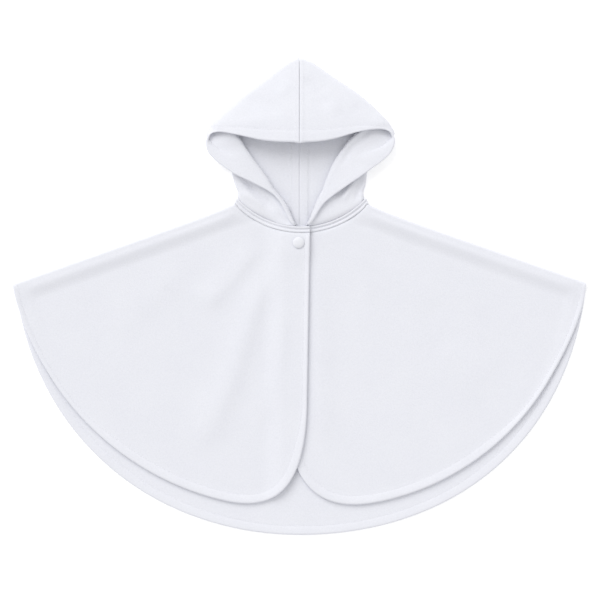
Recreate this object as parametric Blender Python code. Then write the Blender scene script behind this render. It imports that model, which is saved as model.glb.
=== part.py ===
"""A baby's hooded cape in white brushed fleece, laid flat on a table with its front up.

+X is to the right of the laid cape, +Y points from the hem to the hood, and +Z is up.
The underside of the back panel and of the hood's back layer is the plane z = 0.
Sizes are in millimetres, and the meshes are made in metres.
"right" and "left" are the wearer's, so the right front lies at -X, on top of the left one.
"""

import bisect
import math

import bmesh
import bpy
from mathutils import Vector

MM = 0.001

# Cloth
CLOTH = 2.0                     # thickness of the fleece
GAP = 0.3                       # air between two pieces that meet or lie on each other
CLEAR = 0.5                     # air under a curved layer that lies on a hem
HEM_WIDTH = 11.0                # turned hem along the bottom
EDGE_WIDTH = 6.0                # turned hem along the front edges
HEM_RISE = 1.1                  # how much thicker the turned hem is
HEM_ROUND = 3.0                 # width over which the hem's outer rim is rounded
HEM_RIM = 0.35                  # thickness left at the rim, as a share of the hem's rise
HEM_BRIDGE = 14.0               # a front on the back's hem comes down to the panel over this width

# Neck seam: an arc that the hood and the cape share, covered by a raised band
NECK_CENTRE = (2.0, 170.0)
NECK_RADIUS = 97.2
BAND_WIDTH = 6.0
BAND_THICK = 2.2
BAND_RIDGE = 0.45               # height of the band's two piped ridges
BAND_TURN = 0.985               # where the band turns over, as a share of the way to the shoulder fold
BAND_TURN_STEPS = 6
RIDGE_PLACE = 0.55              # a ridge's distance from the middle, as a share of the half width
BAND_ENDS = {"left": -12.0, "right": 11.4}
HOOD_NECK_RADIUS = NECK_RADIUS - BAND_WIDTH / 2 - GAP
CAPE_NECK_RADIUS = NECK_RADIUS + BAND_WIDTH / 2 + GAP

# Shoulders: two nearly straight folds, with the front rolled over into the back's edge
ROLL_RADIUS = 3.6               # outside radius of the rolled fold
ROLL_TUCK = 7.0                 # how far the rolled edge runs in under the cape
ROLL_SETTLE = 26.0              # from the roll to where the front lies down on the back
RIDGE_START = 10.0              # away from the neck the front stays up to this distance from the fold
RIDGE_FALL = 19.0               # and falls to the back over this width
RIDGE_GROWTH = 30.0             # the ridge grows over this length from the neck and from the tip
SHOULDERS = {
    "right": {"tip": (-313.0, 13.5), "slope": 0.353, "neck_x": 67.4, "rise": 2.5},
    "left": {"tip": (313.0, 15.0), "slope": 0.347, "neck_x": 68.0, "rise": 4.0},
}
RISE_LENGTH = 20.0

# Hems: arcs, with a bulge on each diagonal of the back one
BACK_HEM = {"centre": (1.1, 53.5), "radius": 313.5, "bulge": {"right": 4.0, "left": 7.5}}
FRONT_HEMS = {
    "right": {"centre": (-12.9, 74.2), "radius": 304.7, "arc_end": 85.0, "edge_top": 11.4, "edge_low": 8.4},
    "left": {"centre": (31.3, 48.5), "radius": 277.9, "arc_end": 85.0, "edge_top": -12.5, "edge_low": -16.0},
}
CORNER_TOP = -110.0             # the front edge is straight above this height
CORNER_HANDLES = (56.0, 107.0)  # fullness of the rounded corner, along the hem and the edge
EDGE_TO_HEM = (-120.0, -180.0)  # the narrow edge hem widens to the bottom hem between these heights
TIP_EASE = 0.33                 # share of the hem over which its end is drawn to the shoulder's tip
BORDER_STEPS = {"hem": 48, "corner": 24, "edge": 16}

# The right front settles from the left one down to the back over this width
OVERLAP_EASE = 24.0

# Soft folds in the fronts, as the path of each crest from the neck down. A fold is steeper on its
# lower right side, seen from above.
#    side, path, width on the left, width on the right, height
FRONT_FOLDS = (
    ("right", ((-40.9, 60.0), (-67.0, 31.0), (-88.8, 4.7), (-108.0, -22.0)), 15.0, 9.0, 1.7),
    ("right", ((-24.0, 52.0), (-32.2, 26.5), (-46.3, -4.0), (-57.2, -42.2), (-74.7, -93.4),
               (-96.5, -140.3), (-125.9, -176.3)), 14.0, 10.0, 2.5),
    ("right", ((-120.0, 40.0), (-160.0, 0.0), (-215.0, -40.0)), 20.0, 16.0, 0.9),
    ("left", ((20.0, 52.0), (21.0, -10.0), (22.0, -80.0), (27.0, -140.0), (38.0, -172.0)), 7.0, 12.0, 1.3),
    ("left", ((92.0, 44.0), (118.0, 12.0), (150.0, -20.0)), 12.0, 14.0, 0.8),
)
FOLD_FADE = 0.22                # share of a fold's length over which it rises and dies

# Press stud at the neck
SNAP_PLACE = (-1.1, 58.4)
SNAP_DIAMETER = 12.4
SNAP_HEIGHT = 2.6
SNAP_PART_DIAMETER = 9.0
SNAP_PART_HEIGHT = 1.1
SNAP_LIFT_REACH = 26.0          # the lift in the upper front dies out at this distance

# Hood guides: a row for each share of the way from the neck, up the face edge, to the crown seam.
# x is counted outwards from the middle on both halves.
#   share,    x,     y,    z
FACE_EDGE = {
    "right": (
        (0.00, 0.9, 76.1, 6.4),
        (0.06, 6.2, 88.0, 8.8),
        (0.20, 29.1, 115.5, 11.6),
        (0.30, 50.5, 126.0, 12.6),
        (0.39, 73.6, 135.5, 13.0),
        (0.50, 95.0, 153.0, 12.0),
        (0.56, 101.2, 165.5, 13.0),
        (0.60, 99.0, 174.5, 14.5),
        (0.65, 88.0, 179.2, 15.8),
        (0.73, 69.2, 176.2, 17.5),
        (0.84, 42.3, 170.8, 20.5),
        (1.00, 0.15, 167.3, 22.5),
    ),
    "left": (
        (0.00, 7.0, 76.3, 3.6),
        (0.06, 13.6, 89.4, 8.0),
        (0.20, 33.2, 109.3, 11.6),
        (0.30, 52.0, 121.5, 12.6),
        (0.39, 72.5, 134.5, 13.0),
        (0.50, 94.7, 152.3, 12.0),
        (0.56, 103.5, 167.0, 13.0),
        (0.60, 101.0, 178.5, 14.5),
        (0.65, 89.5, 183.0, 15.8),
        (0.73, 66.0, 178.9, 17.5),
        (0.84, 40.0, 172.2, 20.5),
        (1.00, 0.15, 167.3, 22.5),
    ),
}
#   share,    x,     y,  radius, base height, strength
CROWN_FOLD = {
    "right": (
        (0.46, 95.0, 148.0, 2.0, 5.0, 0.0),
        (0.54, 102.0, 164.5, 3.0, 3.5, 0.8),
        (0.60, 102.6, 177.0, 4.5, 1.0, 1.0),
        (0.65, 96.8, 182.5, 5.4, 1.0, 1.0),
        (0.73, 88.6, 192.3, 5.6, 1.0, 1.0),
        (0.84, 60.8, 218.8, 4.8, 1.0, 1.0),
        (0.93, 30.0, 241.3, 3.8, 1.0, 1.0),
        (0.97, 12.5, 254.2, 3.2, 1.0, 1.0),
        (1.00, 0.15, 259.0, 2.6, 1.0, 1.0),
    ),
    "left": (
        (0.46, 95.0, 147.0, 2.0, 5.0, 0.0),
        (0.54, 104.5, 166.0, 3.0, 3.5, 0.8),
        (0.60, 104.4, 179.0, 4.5, 1.0, 1.0),
        (0.65, 98.6, 185.0, 5.4, 1.0, 1.0),
        (0.73, 92.6, 193.4, 5.6, 1.0, 1.0),
        (0.84, 65.4, 218.4, 4.8, 1.0, 1.0),
        (0.93, 32.4, 241.0, 3.8, 1.0, 1.0),
        (0.97, 13.5, 254.0, 3.2, 1.0, 1.0),
        (1.00, 0.15, 259.0, 2.6, 1.0, 1.0),
    ),
}
#   share,    x,     y,  radius, strength
FACE_ROLL = {
    "right": (
        (0.00, 1.6, 76.4, 1.7, 0.0),
        (0.12, 14.5, 102.6, 1.7, 0.0),
        (0.20, 27.5, 117.7, 1.7, 0.55),
        (0.28, 37.0, 129.5, 1.7, 1.0),
        (0.39, 50.7, 149.2, 1.7, 1.0),
        (0.50, 60.0, 163.0, 1.8, 1.0),
        (0.55, 63.89, 169.0, 2.8, 0.96),
        (0.60, 70.0, 175.5, 5.48, 0.09),
        (0.68, 69.0, 185.0, 5.48, 0.0),
        (1.00, 10.0, 250.0, 2.6, 0.0),
    ),
    "left": (
        (0.00, 8.0, 76.6, 1.7, 0.0),
        (0.12, 19.9, 100.2, 1.7, 0.0),
        (0.20, 31.0, 112.0, 1.7, 0.4),
        (0.28, 36.5, 129.0, 2.0, 0.95),
        (0.39, 47.0, 150.0, 2.8, 1.0),
        (0.50, 58.0, 163.5, 2.91, 1.0),
        (0.55, 63.4, 170.0, 2.85, 0.78),
        (0.60, 67.7, 177.0, 5.96, 0.14),
        (0.68, 69.0, 186.0, 5.96, 0.0),
        (1.00, 10.0, 250.0, 2.6, 0.0),
    ),
}
#   share,    x,     y,  radius, strength
SIDE_FOLD = {
    "right": (
        (0.00, 66.8, 105.6, 2.6, 1.0),
        (0.12, 66.6, 114.0, 2.4, 1.0),
        (0.25, 70.0, 123.5, 2.0, 1.0),
        (0.39, 73.4, 139.0, 1.8, 1.0),
        (0.50, 74.0, 161.0, 2.06, 1.0),
        (0.55, 75.73, 167.31, 3.03, 0.88),
        (0.60, 76.93, 174.22, 3.4, 0.15),
        (0.68, 62.0, 184.5, 3.4, 0.0),
        (1.00, 5.0, 248.0, 2.6, 0.0),
    ),
    "left": (
        (0.00, 70.6, 104.4, 2.6, 1.0),
        (0.12, 68.6, 113.0, 2.4, 1.0),
        (0.25, 71.0, 121.5, 2.0, 1.0),
        (0.39, 73.2, 139.0, 1.8, 1.0),
        (0.50, 74.0, 161.5, 1.8, 1.0),
        (0.55, 74.0, 170.2, 3.35, 0.78),
        (0.60, 72.4, 177.6, 5.22, 0.17),
        (0.68, 62.0, 185.5, 5.22, 0.0),
        (1.00, 5.0, 248.0, 2.6, 0.0),
    ),
}
#   share, y of the back seam
BACK_SEAM = (
    (0.00, 76.1),
    (0.12, 86.0),
    (0.25, 104.0),
    (0.39, 128.0),
    (0.50, 146.0),
    (0.60, 163.0),
    (0.73, 186.0),
    (0.84, 212.0),
    (0.93, 232.0),
    (1.00, 246.0),
)
ROLL_FLAT_AT_NECK = (0.03, 0.07, 0.12)      # where the roll's points lie once it has opened out
ROLL_STAND_AT_NECK = (0.45, 0.20, 0.08)     # and how far up the standing lip they are
ROLL_FLAT_IN_CROWN = (0.80, 0.873, 0.946)
SIDE_FLAT = (0.295, 0.33, 0.366)
ROLL_STEP = 0.3                 # rise of the front layer from the side fold to the face roll
NECK_PULL = 0.16                # sections closer than this share are drawn to the neck arc
NECK_LEVEL_PULL = 0.07          # and closer than this one, to the height of the neck band
SIDE_TOP_CONTROL = 10           # index of the side fold's top among a section's control points
CROWN_DOME = 5.0                # the crown's top layer bows up by this much
BACK_MID = CLOTH / 2            # middle of a layer that lies on the table
LEVEL_TOLERANCE = 0.02
SEAM_HALF_GAP = GAP / 2
HOOD_ROWS = ((0.00, 0.06, 1), (0.06, 0.50, 12), (0.50, 0.68, 8), (0.68, 1.00, 9))
HOOD_SPANS = (2, 2, 2, 2, 1, 1, 2, 2, 1, 1, 2, 2, 2, 2)

# Mesh counts, and how far the rows and columns are crowded towards the edges
FRONT_COLUMNS = 20
FRONT_ROWS = 22
BACK_COLUMNS = 34
BACK_ROWS = 13
ROLL_STEPS = 5
EDGE_SHARES = (0.0, 0.008, 0.022)
EDGE_CROWDING = 1.3
HEM_SHARES = (0.955, 0.972, 0.988, 1.0)
NECK_CROWDING = 1.15

# Finish: brushed white fleece, and a matte white moulded snap
FLEECE_COLOUR = (0.80, 0.81, 0.84, 1.0)
FLEECE_ROUGHNESS = 0.95
SNAP_COLOUR = (0.84, 0.85, 0.87, 1.0)
SNAP_ROUGHNESS = 0.45


# Small helpers

def clear_scene():
    for item in list(bpy.data.objects):
        bpy.data.objects.remove(item, do_unlink=True)


def smooth(value):
    """Eases a value from 0 to 1."""
    value = min(max(value, 0.0), 1.0)
    return value * value * (3.0 - 2.0 * value)


def mix(first, second, share):
    """Point or number part of the way from the first to the second."""
    if isinstance(first, (int, float)):
        return first + (second - first) * share
    return tuple(a + (b - a) * share for a, b in zip(first, second))


def guide(rows, share):
    """Values of a table at a share, on a smooth curve through its rows."""
    keys = [row[0] for row in rows]
    share = min(max(share, keys[0]), keys[-1])
    index = min(max(bisect.bisect_right(keys, share) - 1, 0), len(rows) - 2)
    here, after = rows[index], rows[index + 1]
    before = rows[max(index - 1, 0)]
    beyond = rows[min(index + 2, len(rows) - 1)]
    length = after[0] - here[0]
    t = (share - here[0]) / length
    values = []
    for column in range(1, len(here)):
        start_slope = (after[column] - before[column]) / (after[0] - before[0])
        end_slope = (beyond[column] - here[column]) / (beyond[0] - here[0])
        values.append(hermite(here[column], after[column], start_slope * length, end_slope * length, t))
    return values


def hermite(start, end, start_slope, end_slope, t):
    return (
        (2 * t ** 3 - 3 * t ** 2 + 1) * start
        + (t ** 3 - 2 * t ** 2 + t) * start_slope
        + (3 * t ** 2 - 2 * t ** 3) * end
        + (t ** 3 - t ** 2) * end_slope
    )


def bezier(start, start_handle, end_handle, end, t):
    s = 1.0 - t
    return tuple(
        s ** 3 * a + 3 * s * s * t * b + 3 * s * t * t * c + t ** 3 * d
        for a, b, c, d in zip(start, start_handle, end_handle, end)
    )


def resample(points, shares):
    """Points at given shares of a polyline's length."""
    lengths = [0.0]
    for a, b in zip(points, points[1:]):
        lengths.append(lengths[-1] + math.dist(a, b))
    result = []
    for share in shares:
        target = share * lengths[-1]
        index = min(max(bisect.bisect_right(lengths, target) - 1, 0), len(points) - 2)
        step = lengths[index + 1] - lengths[index]
        result.append(mix(points[index], points[index + 1], (target - lengths[index]) / step))
    return result


def distance_to_path(point, path):
    """Distance in plan from a point to a polyline."""
    best = math.inf
    px, py = point[0], point[1]
    for (ax, ay), (bx, by) in zip(path, path[1:]):
        dx, dy = bx - ax, by - ay
        t = ((px - ax) * dx + (py - ay) * dy) / (dx * dx + dy * dy)
        t = min(max(t, 0.0), 1.0)
        best = min(best, math.hypot(px - ax - t * dx, py - ay - t * dy))
    return best


def shares(count):
    return [index / count for index in range(count + 1)]


# Outlines in plan

def neck_point(angle, radius):
    """Point on the neck arc; the angle is 0 at the middle and grows to the wearer's left."""
    return (
        NECK_CENTRE[0] + radius * math.sin(angle),
        NECK_CENTRE[1] - radius * math.cos(angle),
    )


def neck_y(x, radius):
    """Height in plan of the neck arc at x."""
    return neck_point(neck_angle(x, radius), radius)[1]


def neck_angle(x, radius):
    return math.asin((x - NECK_CENTRE[0]) / radius)


def sign_of(side):
    return -1.0 if side == "right" else 1.0


def shoulder_y(side, x):
    """Height in plan of the shoulder fold at x."""
    shoulder = SHOULDERS[side]
    reach = abs(x)
    line = shoulder["tip"][1] + shoulder["slope"] * (abs(shoulder["tip"][0]) - reach)
    return line + shoulder["rise"] * math.exp((shoulder["neck_x"] - reach) / RISE_LENGTH)


def shoulder_neck_angle(side, inset=0.0):
    """Angle on the cape's neck arc where the shoulder fold, moved in by an inset, meets it."""
    low, high = 0.3, 1.3
    for _ in range(40):
        middle = (low + high) / 2
        x, y = neck_point(sign_of(side) * middle, CAPE_NECK_RADIUS)
        if y > inset_shoulder_y(side, x, inset):
            high = middle
        else:
            low = middle
    return sign_of(side) * (low + high) / 2


def inset_shoulder_y(side, x, inset):
    return shoulder_y(side, x) - inset / shoulder_normal(side, x)[1]


def shoulder_line(side, inset, count=60):
    """The shoulder fold from neck to tip, moved in by an inset."""
    start = neck_point(shoulder_neck_angle(side, inset), CAPE_NECK_RADIUS)[0]
    end = SHOULDERS[side]["tip"][0]
    end -= shoulder_normal(side, end)[0] * inset
    xs = [mix(start, end, share) for share in shares(count)]
    return [(x, inset_shoulder_y(side, x, inset)) for x in xs]


def shoulder_normal(side, x):
    """Unit vector in plan, pointing out of the shoulder fold."""
    slope = (shoulder_y(side, x + 0.5) - shoulder_y(side, x - 0.5))
    length = math.hypot(slope, 1.0)
    return (-slope / length, 1.0 / length)


def back_hem_point(angle):
    """Point on the back hem; the angle is 0 at the lowest point and grows to the wearer's left."""
    side = "left" if angle > 0 else "right"
    radius = BACK_HEM["radius"] + BACK_HEM["bulge"][side] * math.sin(2 * angle) ** 2
    return (
        BACK_HEM["centre"][0] + radius * math.sin(angle),
        BACK_HEM["centre"][1] - radius * math.cos(angle),
    )


def front_border(side):
    """The front's free border: hem from the tip, round the corner, and up the front edge."""
    sign = sign_of(side)
    hem = FRONT_HEMS[side]
    centre_x, centre_y = hem["centre"]
    radius = hem["radius"]
    start = math.acos((centre_y - SHOULDERS[side]["tip"][1]) / radius)
    stop = math.asin(abs(sign * hem["arc_end"] - centre_x) / radius)
    points = []
    tip_shift = SHOULDERS[side]["tip"][0] - centre_x - sign * radius * math.sin(start)
    for share in shares(BORDER_STEPS["hem"]):
        angle = mix(start, stop, share)
        shift = tip_shift * (1.0 - smooth(share / TIP_EASE))
        points.append((centre_x + sign * radius * math.sin(angle) + shift, centre_y - radius * math.cos(angle)))
    arc_end = points[-1]
    along = (-sign * math.cos(stop), -math.sin(stop))
    along_handle = tuple(a + CORNER_HANDLES[0] * d for a, d in zip(arc_end, along))
    edge_start = (hem["edge_low"], CORNER_TOP)
    edge_handle = (hem["edge_low"], CORNER_TOP - CORNER_HANDLES[1])
    for share in shares(BORDER_STEPS["corner"])[1:]:
        points.append(bezier(arc_end, along_handle, edge_handle, edge_start, share))
    corner_middle = len(points) - BORDER_STEPS["corner"] // 2
    edge_end = neck_point(neck_angle(hem["edge_top"], CAPE_NECK_RADIUS), CAPE_NECK_RADIUS)
    for share in shares(BORDER_STEPS["edge"])[1:]:
        points.append(mix(edge_start, edge_end, share))
    return points, corner_middle


# Heights of the layers

BACK_HEM_PATH = [back_hem_point(math.radians(angle)) for angle in range(-84, 85, 3)]


def back_top(x, y):
    """Top of the back panel, with its turned hem."""
    distance = distance_to_path((x, y), BACK_HEM_PATH)
    return CLOTH + HEM_RISE * hem_profile(distance, HEM_WIDTH)


def hem_profile(distance, width):
    """Puffy section of a turned hem: 0 past the stitch line, full in the middle."""
    if distance >= width:
        return 0.0
    return math.sin(math.pi * min(0.5 + distance / width / 2, 1.0)) * smooth(distance / HEM_ROUND + HEM_RIM)


def border_width(y):
    """Width of a front's turned border: narrow up the front edge, wide along the bottom."""
    top, bottom = EDGE_TO_HEM
    return mix(EDGE_WIDTH, HEM_WIDTH, smooth((y - top) / (bottom - top)))


def nearest_on_path(point, path):
    """Signed distance from a path, positive on its left, and the share of the path passed."""
    lengths = [0.0]
    for a, b in zip(path, path[1:]):
        lengths.append(lengths[-1] + math.dist(a, b))
    best, signed, along = math.inf, 0.0, 0.0
    px, py = point
    for number, ((ax, ay), (bx, by)) in enumerate(zip(path, path[1:])):
        dx, dy = bx - ax, by - ay
        size = math.hypot(dx, dy)
        t = min(max(((px - ax) * dx + (py - ay) * dy) / size ** 2, 0.0), 1.0)
        gap_x, gap_y = px - ax - t * dx, py - ay - t * dy
        distance = math.hypot(gap_x, gap_y)
        if distance < best:
            best = distance
            signed = math.copysign(distance, dx * gap_y - dy * gap_x)
            along = (lengths[number] + t * size) / lengths[-1]
    return signed, along


def fold_height(side, x, y):
    """Sum of the soft folds of a front."""
    total = 0.0
    for fold_side, path, left_width, right_width, height in FRONT_FOLDS:
        if fold_side != side:
            continue
        across, along = nearest_on_path((x, y), path)
        width = left_width if across < 0 else right_width
        fade = smooth(along / FOLD_FADE) * smooth((1.0 - along) / FOLD_FADE)
        total += height * fade * math.exp(-(across / width) ** 2)
    return total


def overlap_share(x):
    """1 where the right front lies on the left one, easing to 0 beside it."""
    return 1.0 - smooth((FRONT_HEMS["left"]["edge_low"] - x) / OVERLAP_EASE)


def front_floor(side, x, y):
    """Underside of a front where it lies flat, bridging the back's turned hem."""
    from_hem = distance_to_path((x, y), BACK_HEM_PATH)
    floor = CLOTH + CLEAR + HEM_RISE * (1.0 - smooth((from_hem - HEM_WIDTH) / HEM_BRIDGE))
    if side == "right":
        lower_top = CLOTH + CLEAR + CLOTH + HEM_RISE + CLEAR
        floor = mix(floor, max(floor, lower_top), overlap_share(x))
    return floor


def front_underside(side, x, y, from_shoulder):
    """Underside of a front: on the back, up to the roll, over folds, and up at the snap."""
    floor = front_floor(side, x, y)
    roll_top = 2 * ROLL_RADIUS - CLOTH
    from_neck = math.dist((x, y), NECK_CENTRE) - CAPE_NECK_RADIUS
    from_tip = abs(SHOULDERS[side]["tip"][0]) - abs(x)
    ridge = smooth(from_neck / RIDGE_GROWTH) * smooth(from_tip / RIDGE_GROWTH)
    start = mix(ROLL_RADIUS, RIDGE_START, ridge)
    near_roll = 1.0 - smooth((from_shoulder - start) / mix(ROLL_SETTLE, RIDGE_FALL, ridge))
    height = mix(floor, max(roll_top, floor), near_roll)
    height += fold_height(side, x, y) * (1.0 - near_roll)
    if side == "right":
        from_snap = math.dist((x, y), SNAP_PLACE)
        height += snap_lift() * (1.0 - smooth((from_snap - SNAP_DIAMETER / 2) / SNAP_LIFT_REACH))
    return height


def snap_lift():
    """How far the snap's hidden parts lift the upper front."""
    stack = CLOTH + CLEAR + CLOTH + GAP + 2 * SNAP_PART_HEIGHT + 2 * GAP
    return stack - (CLOTH + CLEAR + CLOTH + HEM_RISE + CLEAR)


def neck_mid(side, x, side_x):
    """Middle of the front layer along the neck seam."""
    level = CLOTH + CLEAR + CLOTH / 2
    if side == "right":
        level = mix(level, level + CLOTH + HEM_RISE + CLEAR, overlap_share(x))
    roll_mid = 2 * ROLL_RADIUS - CLOTH / 2
    near_roll = 1.0 - smooth((side_x - abs(x) - ROLL_RADIUS) / ROLL_SETTLE)
    return mix(level, roll_mid, near_roll)


# Mesh makers

def add_object(name, points, faces, finish):
    mesh = bpy.data.meshes.new(name)
    mesh.from_pydata([Vector(point) * MM for point in points], [], faces)
    shape = bmesh.new()
    shape.from_mesh(mesh)
    bmesh.ops.recalc_face_normals(shape, faces=shape.faces)
    shape.to_mesh(mesh)
    shape.free()
    mesh.shade_smooth()
    mesh.set_sharp_from_angle(angle=math.radians(50))
    mesh.materials.append(finish)
    item = bpy.data.objects.new(name, mesh)
    bpy.context.scene.collection.objects.link(item)
    return item


def wall(name, outer, inner, finish):
    """Closed wall between two grids of points of the same size, with rims on all four sides."""
    rows, columns = len(outer), len(outer[0])
    points = [point for row in outer for point in row]
    points += [point for row in inner for point in row]
    offset = rows * columns

    def at(row, column, layer):
        return layer * offset + row * columns + column

    faces = []
    for row in range(rows - 1):
        for column in range(columns - 1):
            for layer in (0, 1):
                quad = [
                    at(row, column, layer),
                    at(row, column + 1, layer),
                    at(row + 1, column + 1, layer),
                    at(row + 1, column, layer),
                ]
                faces.append(quad if layer == 0 else quad[::-1])
    border = [(0, column) for column in range(columns)]
    border += [(row, columns - 1) for row in range(1, rows)]
    border += [(rows - 1, column) for column in range(columns - 2, -1, -1)]
    border += [(row, 0) for row in range(rows - 2, 0, -1)]
    for here, after in zip(border, border[1:] + border[:1]):
        faces.append([at(*here, 0), at(*here, 1), at(*after, 1), at(*after, 0)])
    return add_object(name, points, faces, finish)


def loft(name, rings, finish):
    """Closed body through rings of the same count, with flat ends."""
    count = len(rings[0])
    points = [point for ring in rings for point in ring]
    faces = []
    for index in range(len(rings) - 1):
        for corner in range(count):
            after = (corner + 1) % count
            faces.append([
                index * count + corner,
                index * count + after,
                (index + 1) * count + after,
                (index + 1) * count + corner,
            ])
    faces.append(list(range(count))[::-1])
    faces.append([(len(rings) - 1) * count + corner for corner in range(count)])
    return add_object(name, points, faces, finish)


def coons(near, far, first, last, column_shares, row_shares):
    """Grid in plan between four border curves, whose points sit at the given shares.

    Rows run from near to far, and columns from first to last.
    """
    grid = []
    for row, v in enumerate(row_shares):
        line = []
        for column, u in enumerate(column_shares):
            point = []
            for axis in (0, 1):
                ruled_v = mix(near[column][axis], far[column][axis], v)
                ruled_u = mix(first[row][axis], last[row][axis], u)
                corners = mix(
                    mix(near[0][axis], near[-1][axis], u),
                    mix(far[0][axis], far[-1][axis], u),
                    v,
                )
                point.append(ruled_v + ruled_u - corners)
            line.append(tuple(point))
        grid.append(line)
    return grid


def finish_material(name, colour, roughness):
    finish = bpy.data.materials.new(name)
    finish.use_nodes = True
    shader = finish.node_tree.nodes["Principled BSDF"]
    shader.inputs["Base Color"].default_value = colour
    shader.inputs["Roughness"].default_value = roughness
    shader.inputs["Metallic"].default_value = 0.0
    finish.diffuse_color = colour
    return finish


# Back panel

def build_back(finish):
    """One flat panel from shoulder to shoulder, with the hem thicker along the bottom."""
    inset = ROLL_TUCK + CLEAR
    shoulders = {side: shoulder_line(side, inset) for side in ("right", "left")}
    column_shares = shares(BACK_COLUMNS)
    row_shares = hem_shares(BACK_ROWS)
    neck_from = neck_angle(shoulders["right"][0][0], CAPE_NECK_RADIUS)
    neck_to = neck_angle(shoulders["left"][0][0], CAPE_NECK_RADIUS)
    near = [
        neck_point(mix(neck_from, neck_to, share), CAPE_NECK_RADIUS)
        for share in column_shares
    ]
    first = [near[0]] + resample(shoulders["right"], row_shares)[1:]
    last = [near[-1]] + resample(shoulders["left"], row_shares)[1:]
    angles = [
        math.atan2(point[0] - BACK_HEM["centre"][0], BACK_HEM["centre"][1] - point[1])
        for point in (first[-1], last[-1])
    ]
    far = [back_hem_point(mix(angles[0], angles[1], share)) for share in column_shares]
    first[-1], last[-1] = far[0], far[-1]
    grid = coons(near, far, first, last, column_shares, row_shares)
    outer = [[(x, y, back_top(x, y)) for x, y in row] for row in grid]
    inner = [[(x, y, 0.0) for x, y in row] for row in grid]
    return wall("back", outer, inner, finish)


# Fronts

def build_front(side, finish):
    """A front from its neckline to its hem, with the shoulder rolled over towards the back."""
    border, corner = front_border(side)
    neck_from = neck_angle(FRONT_HEMS[side]["edge_top"], CAPE_NECK_RADIUS)
    shoulder = shoulder_line(side, ROLL_RADIUS)
    neck_to = shoulder_neck_angle(side)
    column_shares = edge_shares(FRONT_COLUMNS)
    row_shares = hem_shares(FRONT_ROWS)
    near = [
        neck_point(mix(neck_from, neck_to, share), CAPE_NECK_RADIUS) for share in column_shares
    ]
    far = resample(border[:corner + 1][::-1], column_shares)
    first = resample(border[corner:][::-1], row_shares)
    last = resample(shoulder, row_shares)
    near[-1], near[0] = last[0], first[0]
    far[-1] = last[-1]
    grid = coons(near, far, first, last, column_shares, row_shares)
    silhouette = resample(shoulder_line(side, 0.0), row_shares)
    outer, inner = [], []
    for row, line in enumerate(grid):
        outer_row, inner_row = [], []
        for x, y in line:
            from_shoulder = distance_to_path((x, y), silhouette_path(side))
            under = front_underside(side, x, y, from_shoulder)
            from_border = distance_to_path((x, y), border)
            rise = HEM_RISE * hem_profile(from_border, border_width(y))
            rise *= smooth((from_shoulder - ROLL_TUCK) / ROLL_SETTLE)
            outer_row.append((x, y, under + CLOTH + rise))
            inner_row.append((x, y, under))
        roll_outer, roll_inner = roll_points(side, silhouette[row], outer_row[-1], inner_row[-1])
        outer.append(outer_row + roll_outer)
        inner.append(inner_row + roll_inner)
    return wall("front_" + side, outer, inner, finish)


def edge_shares(count):
    """Column shares from the front edge to the shoulder, closer along the turned edge."""
    close = list(EDGE_SHARES)
    rest = [mix(close[-1], 1.0, share ** EDGE_CROWDING) for share in shares(count - len(close) + 1)]
    return close + rest[1:]


def hem_shares(count):
    """Row shares from the neck to the hem, closer along the neck and the turned hem."""
    close = list(HEM_SHARES)
    rest = [close[0] * share ** NECK_CROWDING for share in shares(count - len(close) + 1)]
    return rest[:-1] + close


SILHOUETTES = {}


def silhouette_path(side):
    if side not in SILHOUETTES:
        SILHOUETTES[side] = shoulder_line(side, 0.0)
    return SILHOUETTES[side]


def roll_points(side, fold_point, top_point, under_point):
    """Outer and inner points of the rolled fold, from its top round to its flat underside."""
    out_x, out_y = shoulder_normal(side, fold_point[0])
    radius_outer = ROLL_RADIUS
    radius_inner = ROLL_RADIUS - CLOTH
    centre = (fold_point[0] - out_x * ROLL_RADIUS, fold_point[1] - out_y * ROLL_RADIUS)
    outer, inner = [], []
    for step in range(1, ROLL_STEPS + 1):
        angle = math.pi / 2 - math.pi * step / ROLL_STEPS
        for radius, points in ((radius_outer, outer), (radius_inner, inner)):
            reach = radius * math.cos(angle)
            points.append((
                centre[0] + out_x * reach,
                centre[1] + out_y * reach,
                ROLL_RADIUS + radius * math.sin(angle),
            ))
    tuck = ROLL_TUCK
    end = (fold_point[0] - out_x * tuck, fold_point[1] - out_y * tuck)
    outer.append((end[0], end[1], 0.0))
    inner.append((end[0], end[1], CLOTH))
    return outer, inner


# Hood

def fold_points(place, centre_height, radius, arriving, leaving):
    """Top, outermost and bottom points of a fold, for the plan directions on its two sides."""
    top = (place[0] - arriving[0] * radius, place[1] - arriving[1] * radius, centre_height + radius)
    side = (place[0], place[1], centre_height)
    bottom = (place[0] - leaving[0] * radius, place[1] - leaving[1] * radius, centre_height - radius)
    return [top, side, bottom]


def plan_direction(start, end):
    dx, dy = end[0] - start[0], end[1] - start[1]
    length = math.hypot(dx, dy)
    return (dx / length, dy / length)


def between(start, end, fractions):
    return [mix(start, end, fraction) for fraction in fractions]


def blended(flat, folded, strength):
    return [mix(a, b, strength) for a, b in zip(flat, folded)]


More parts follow.
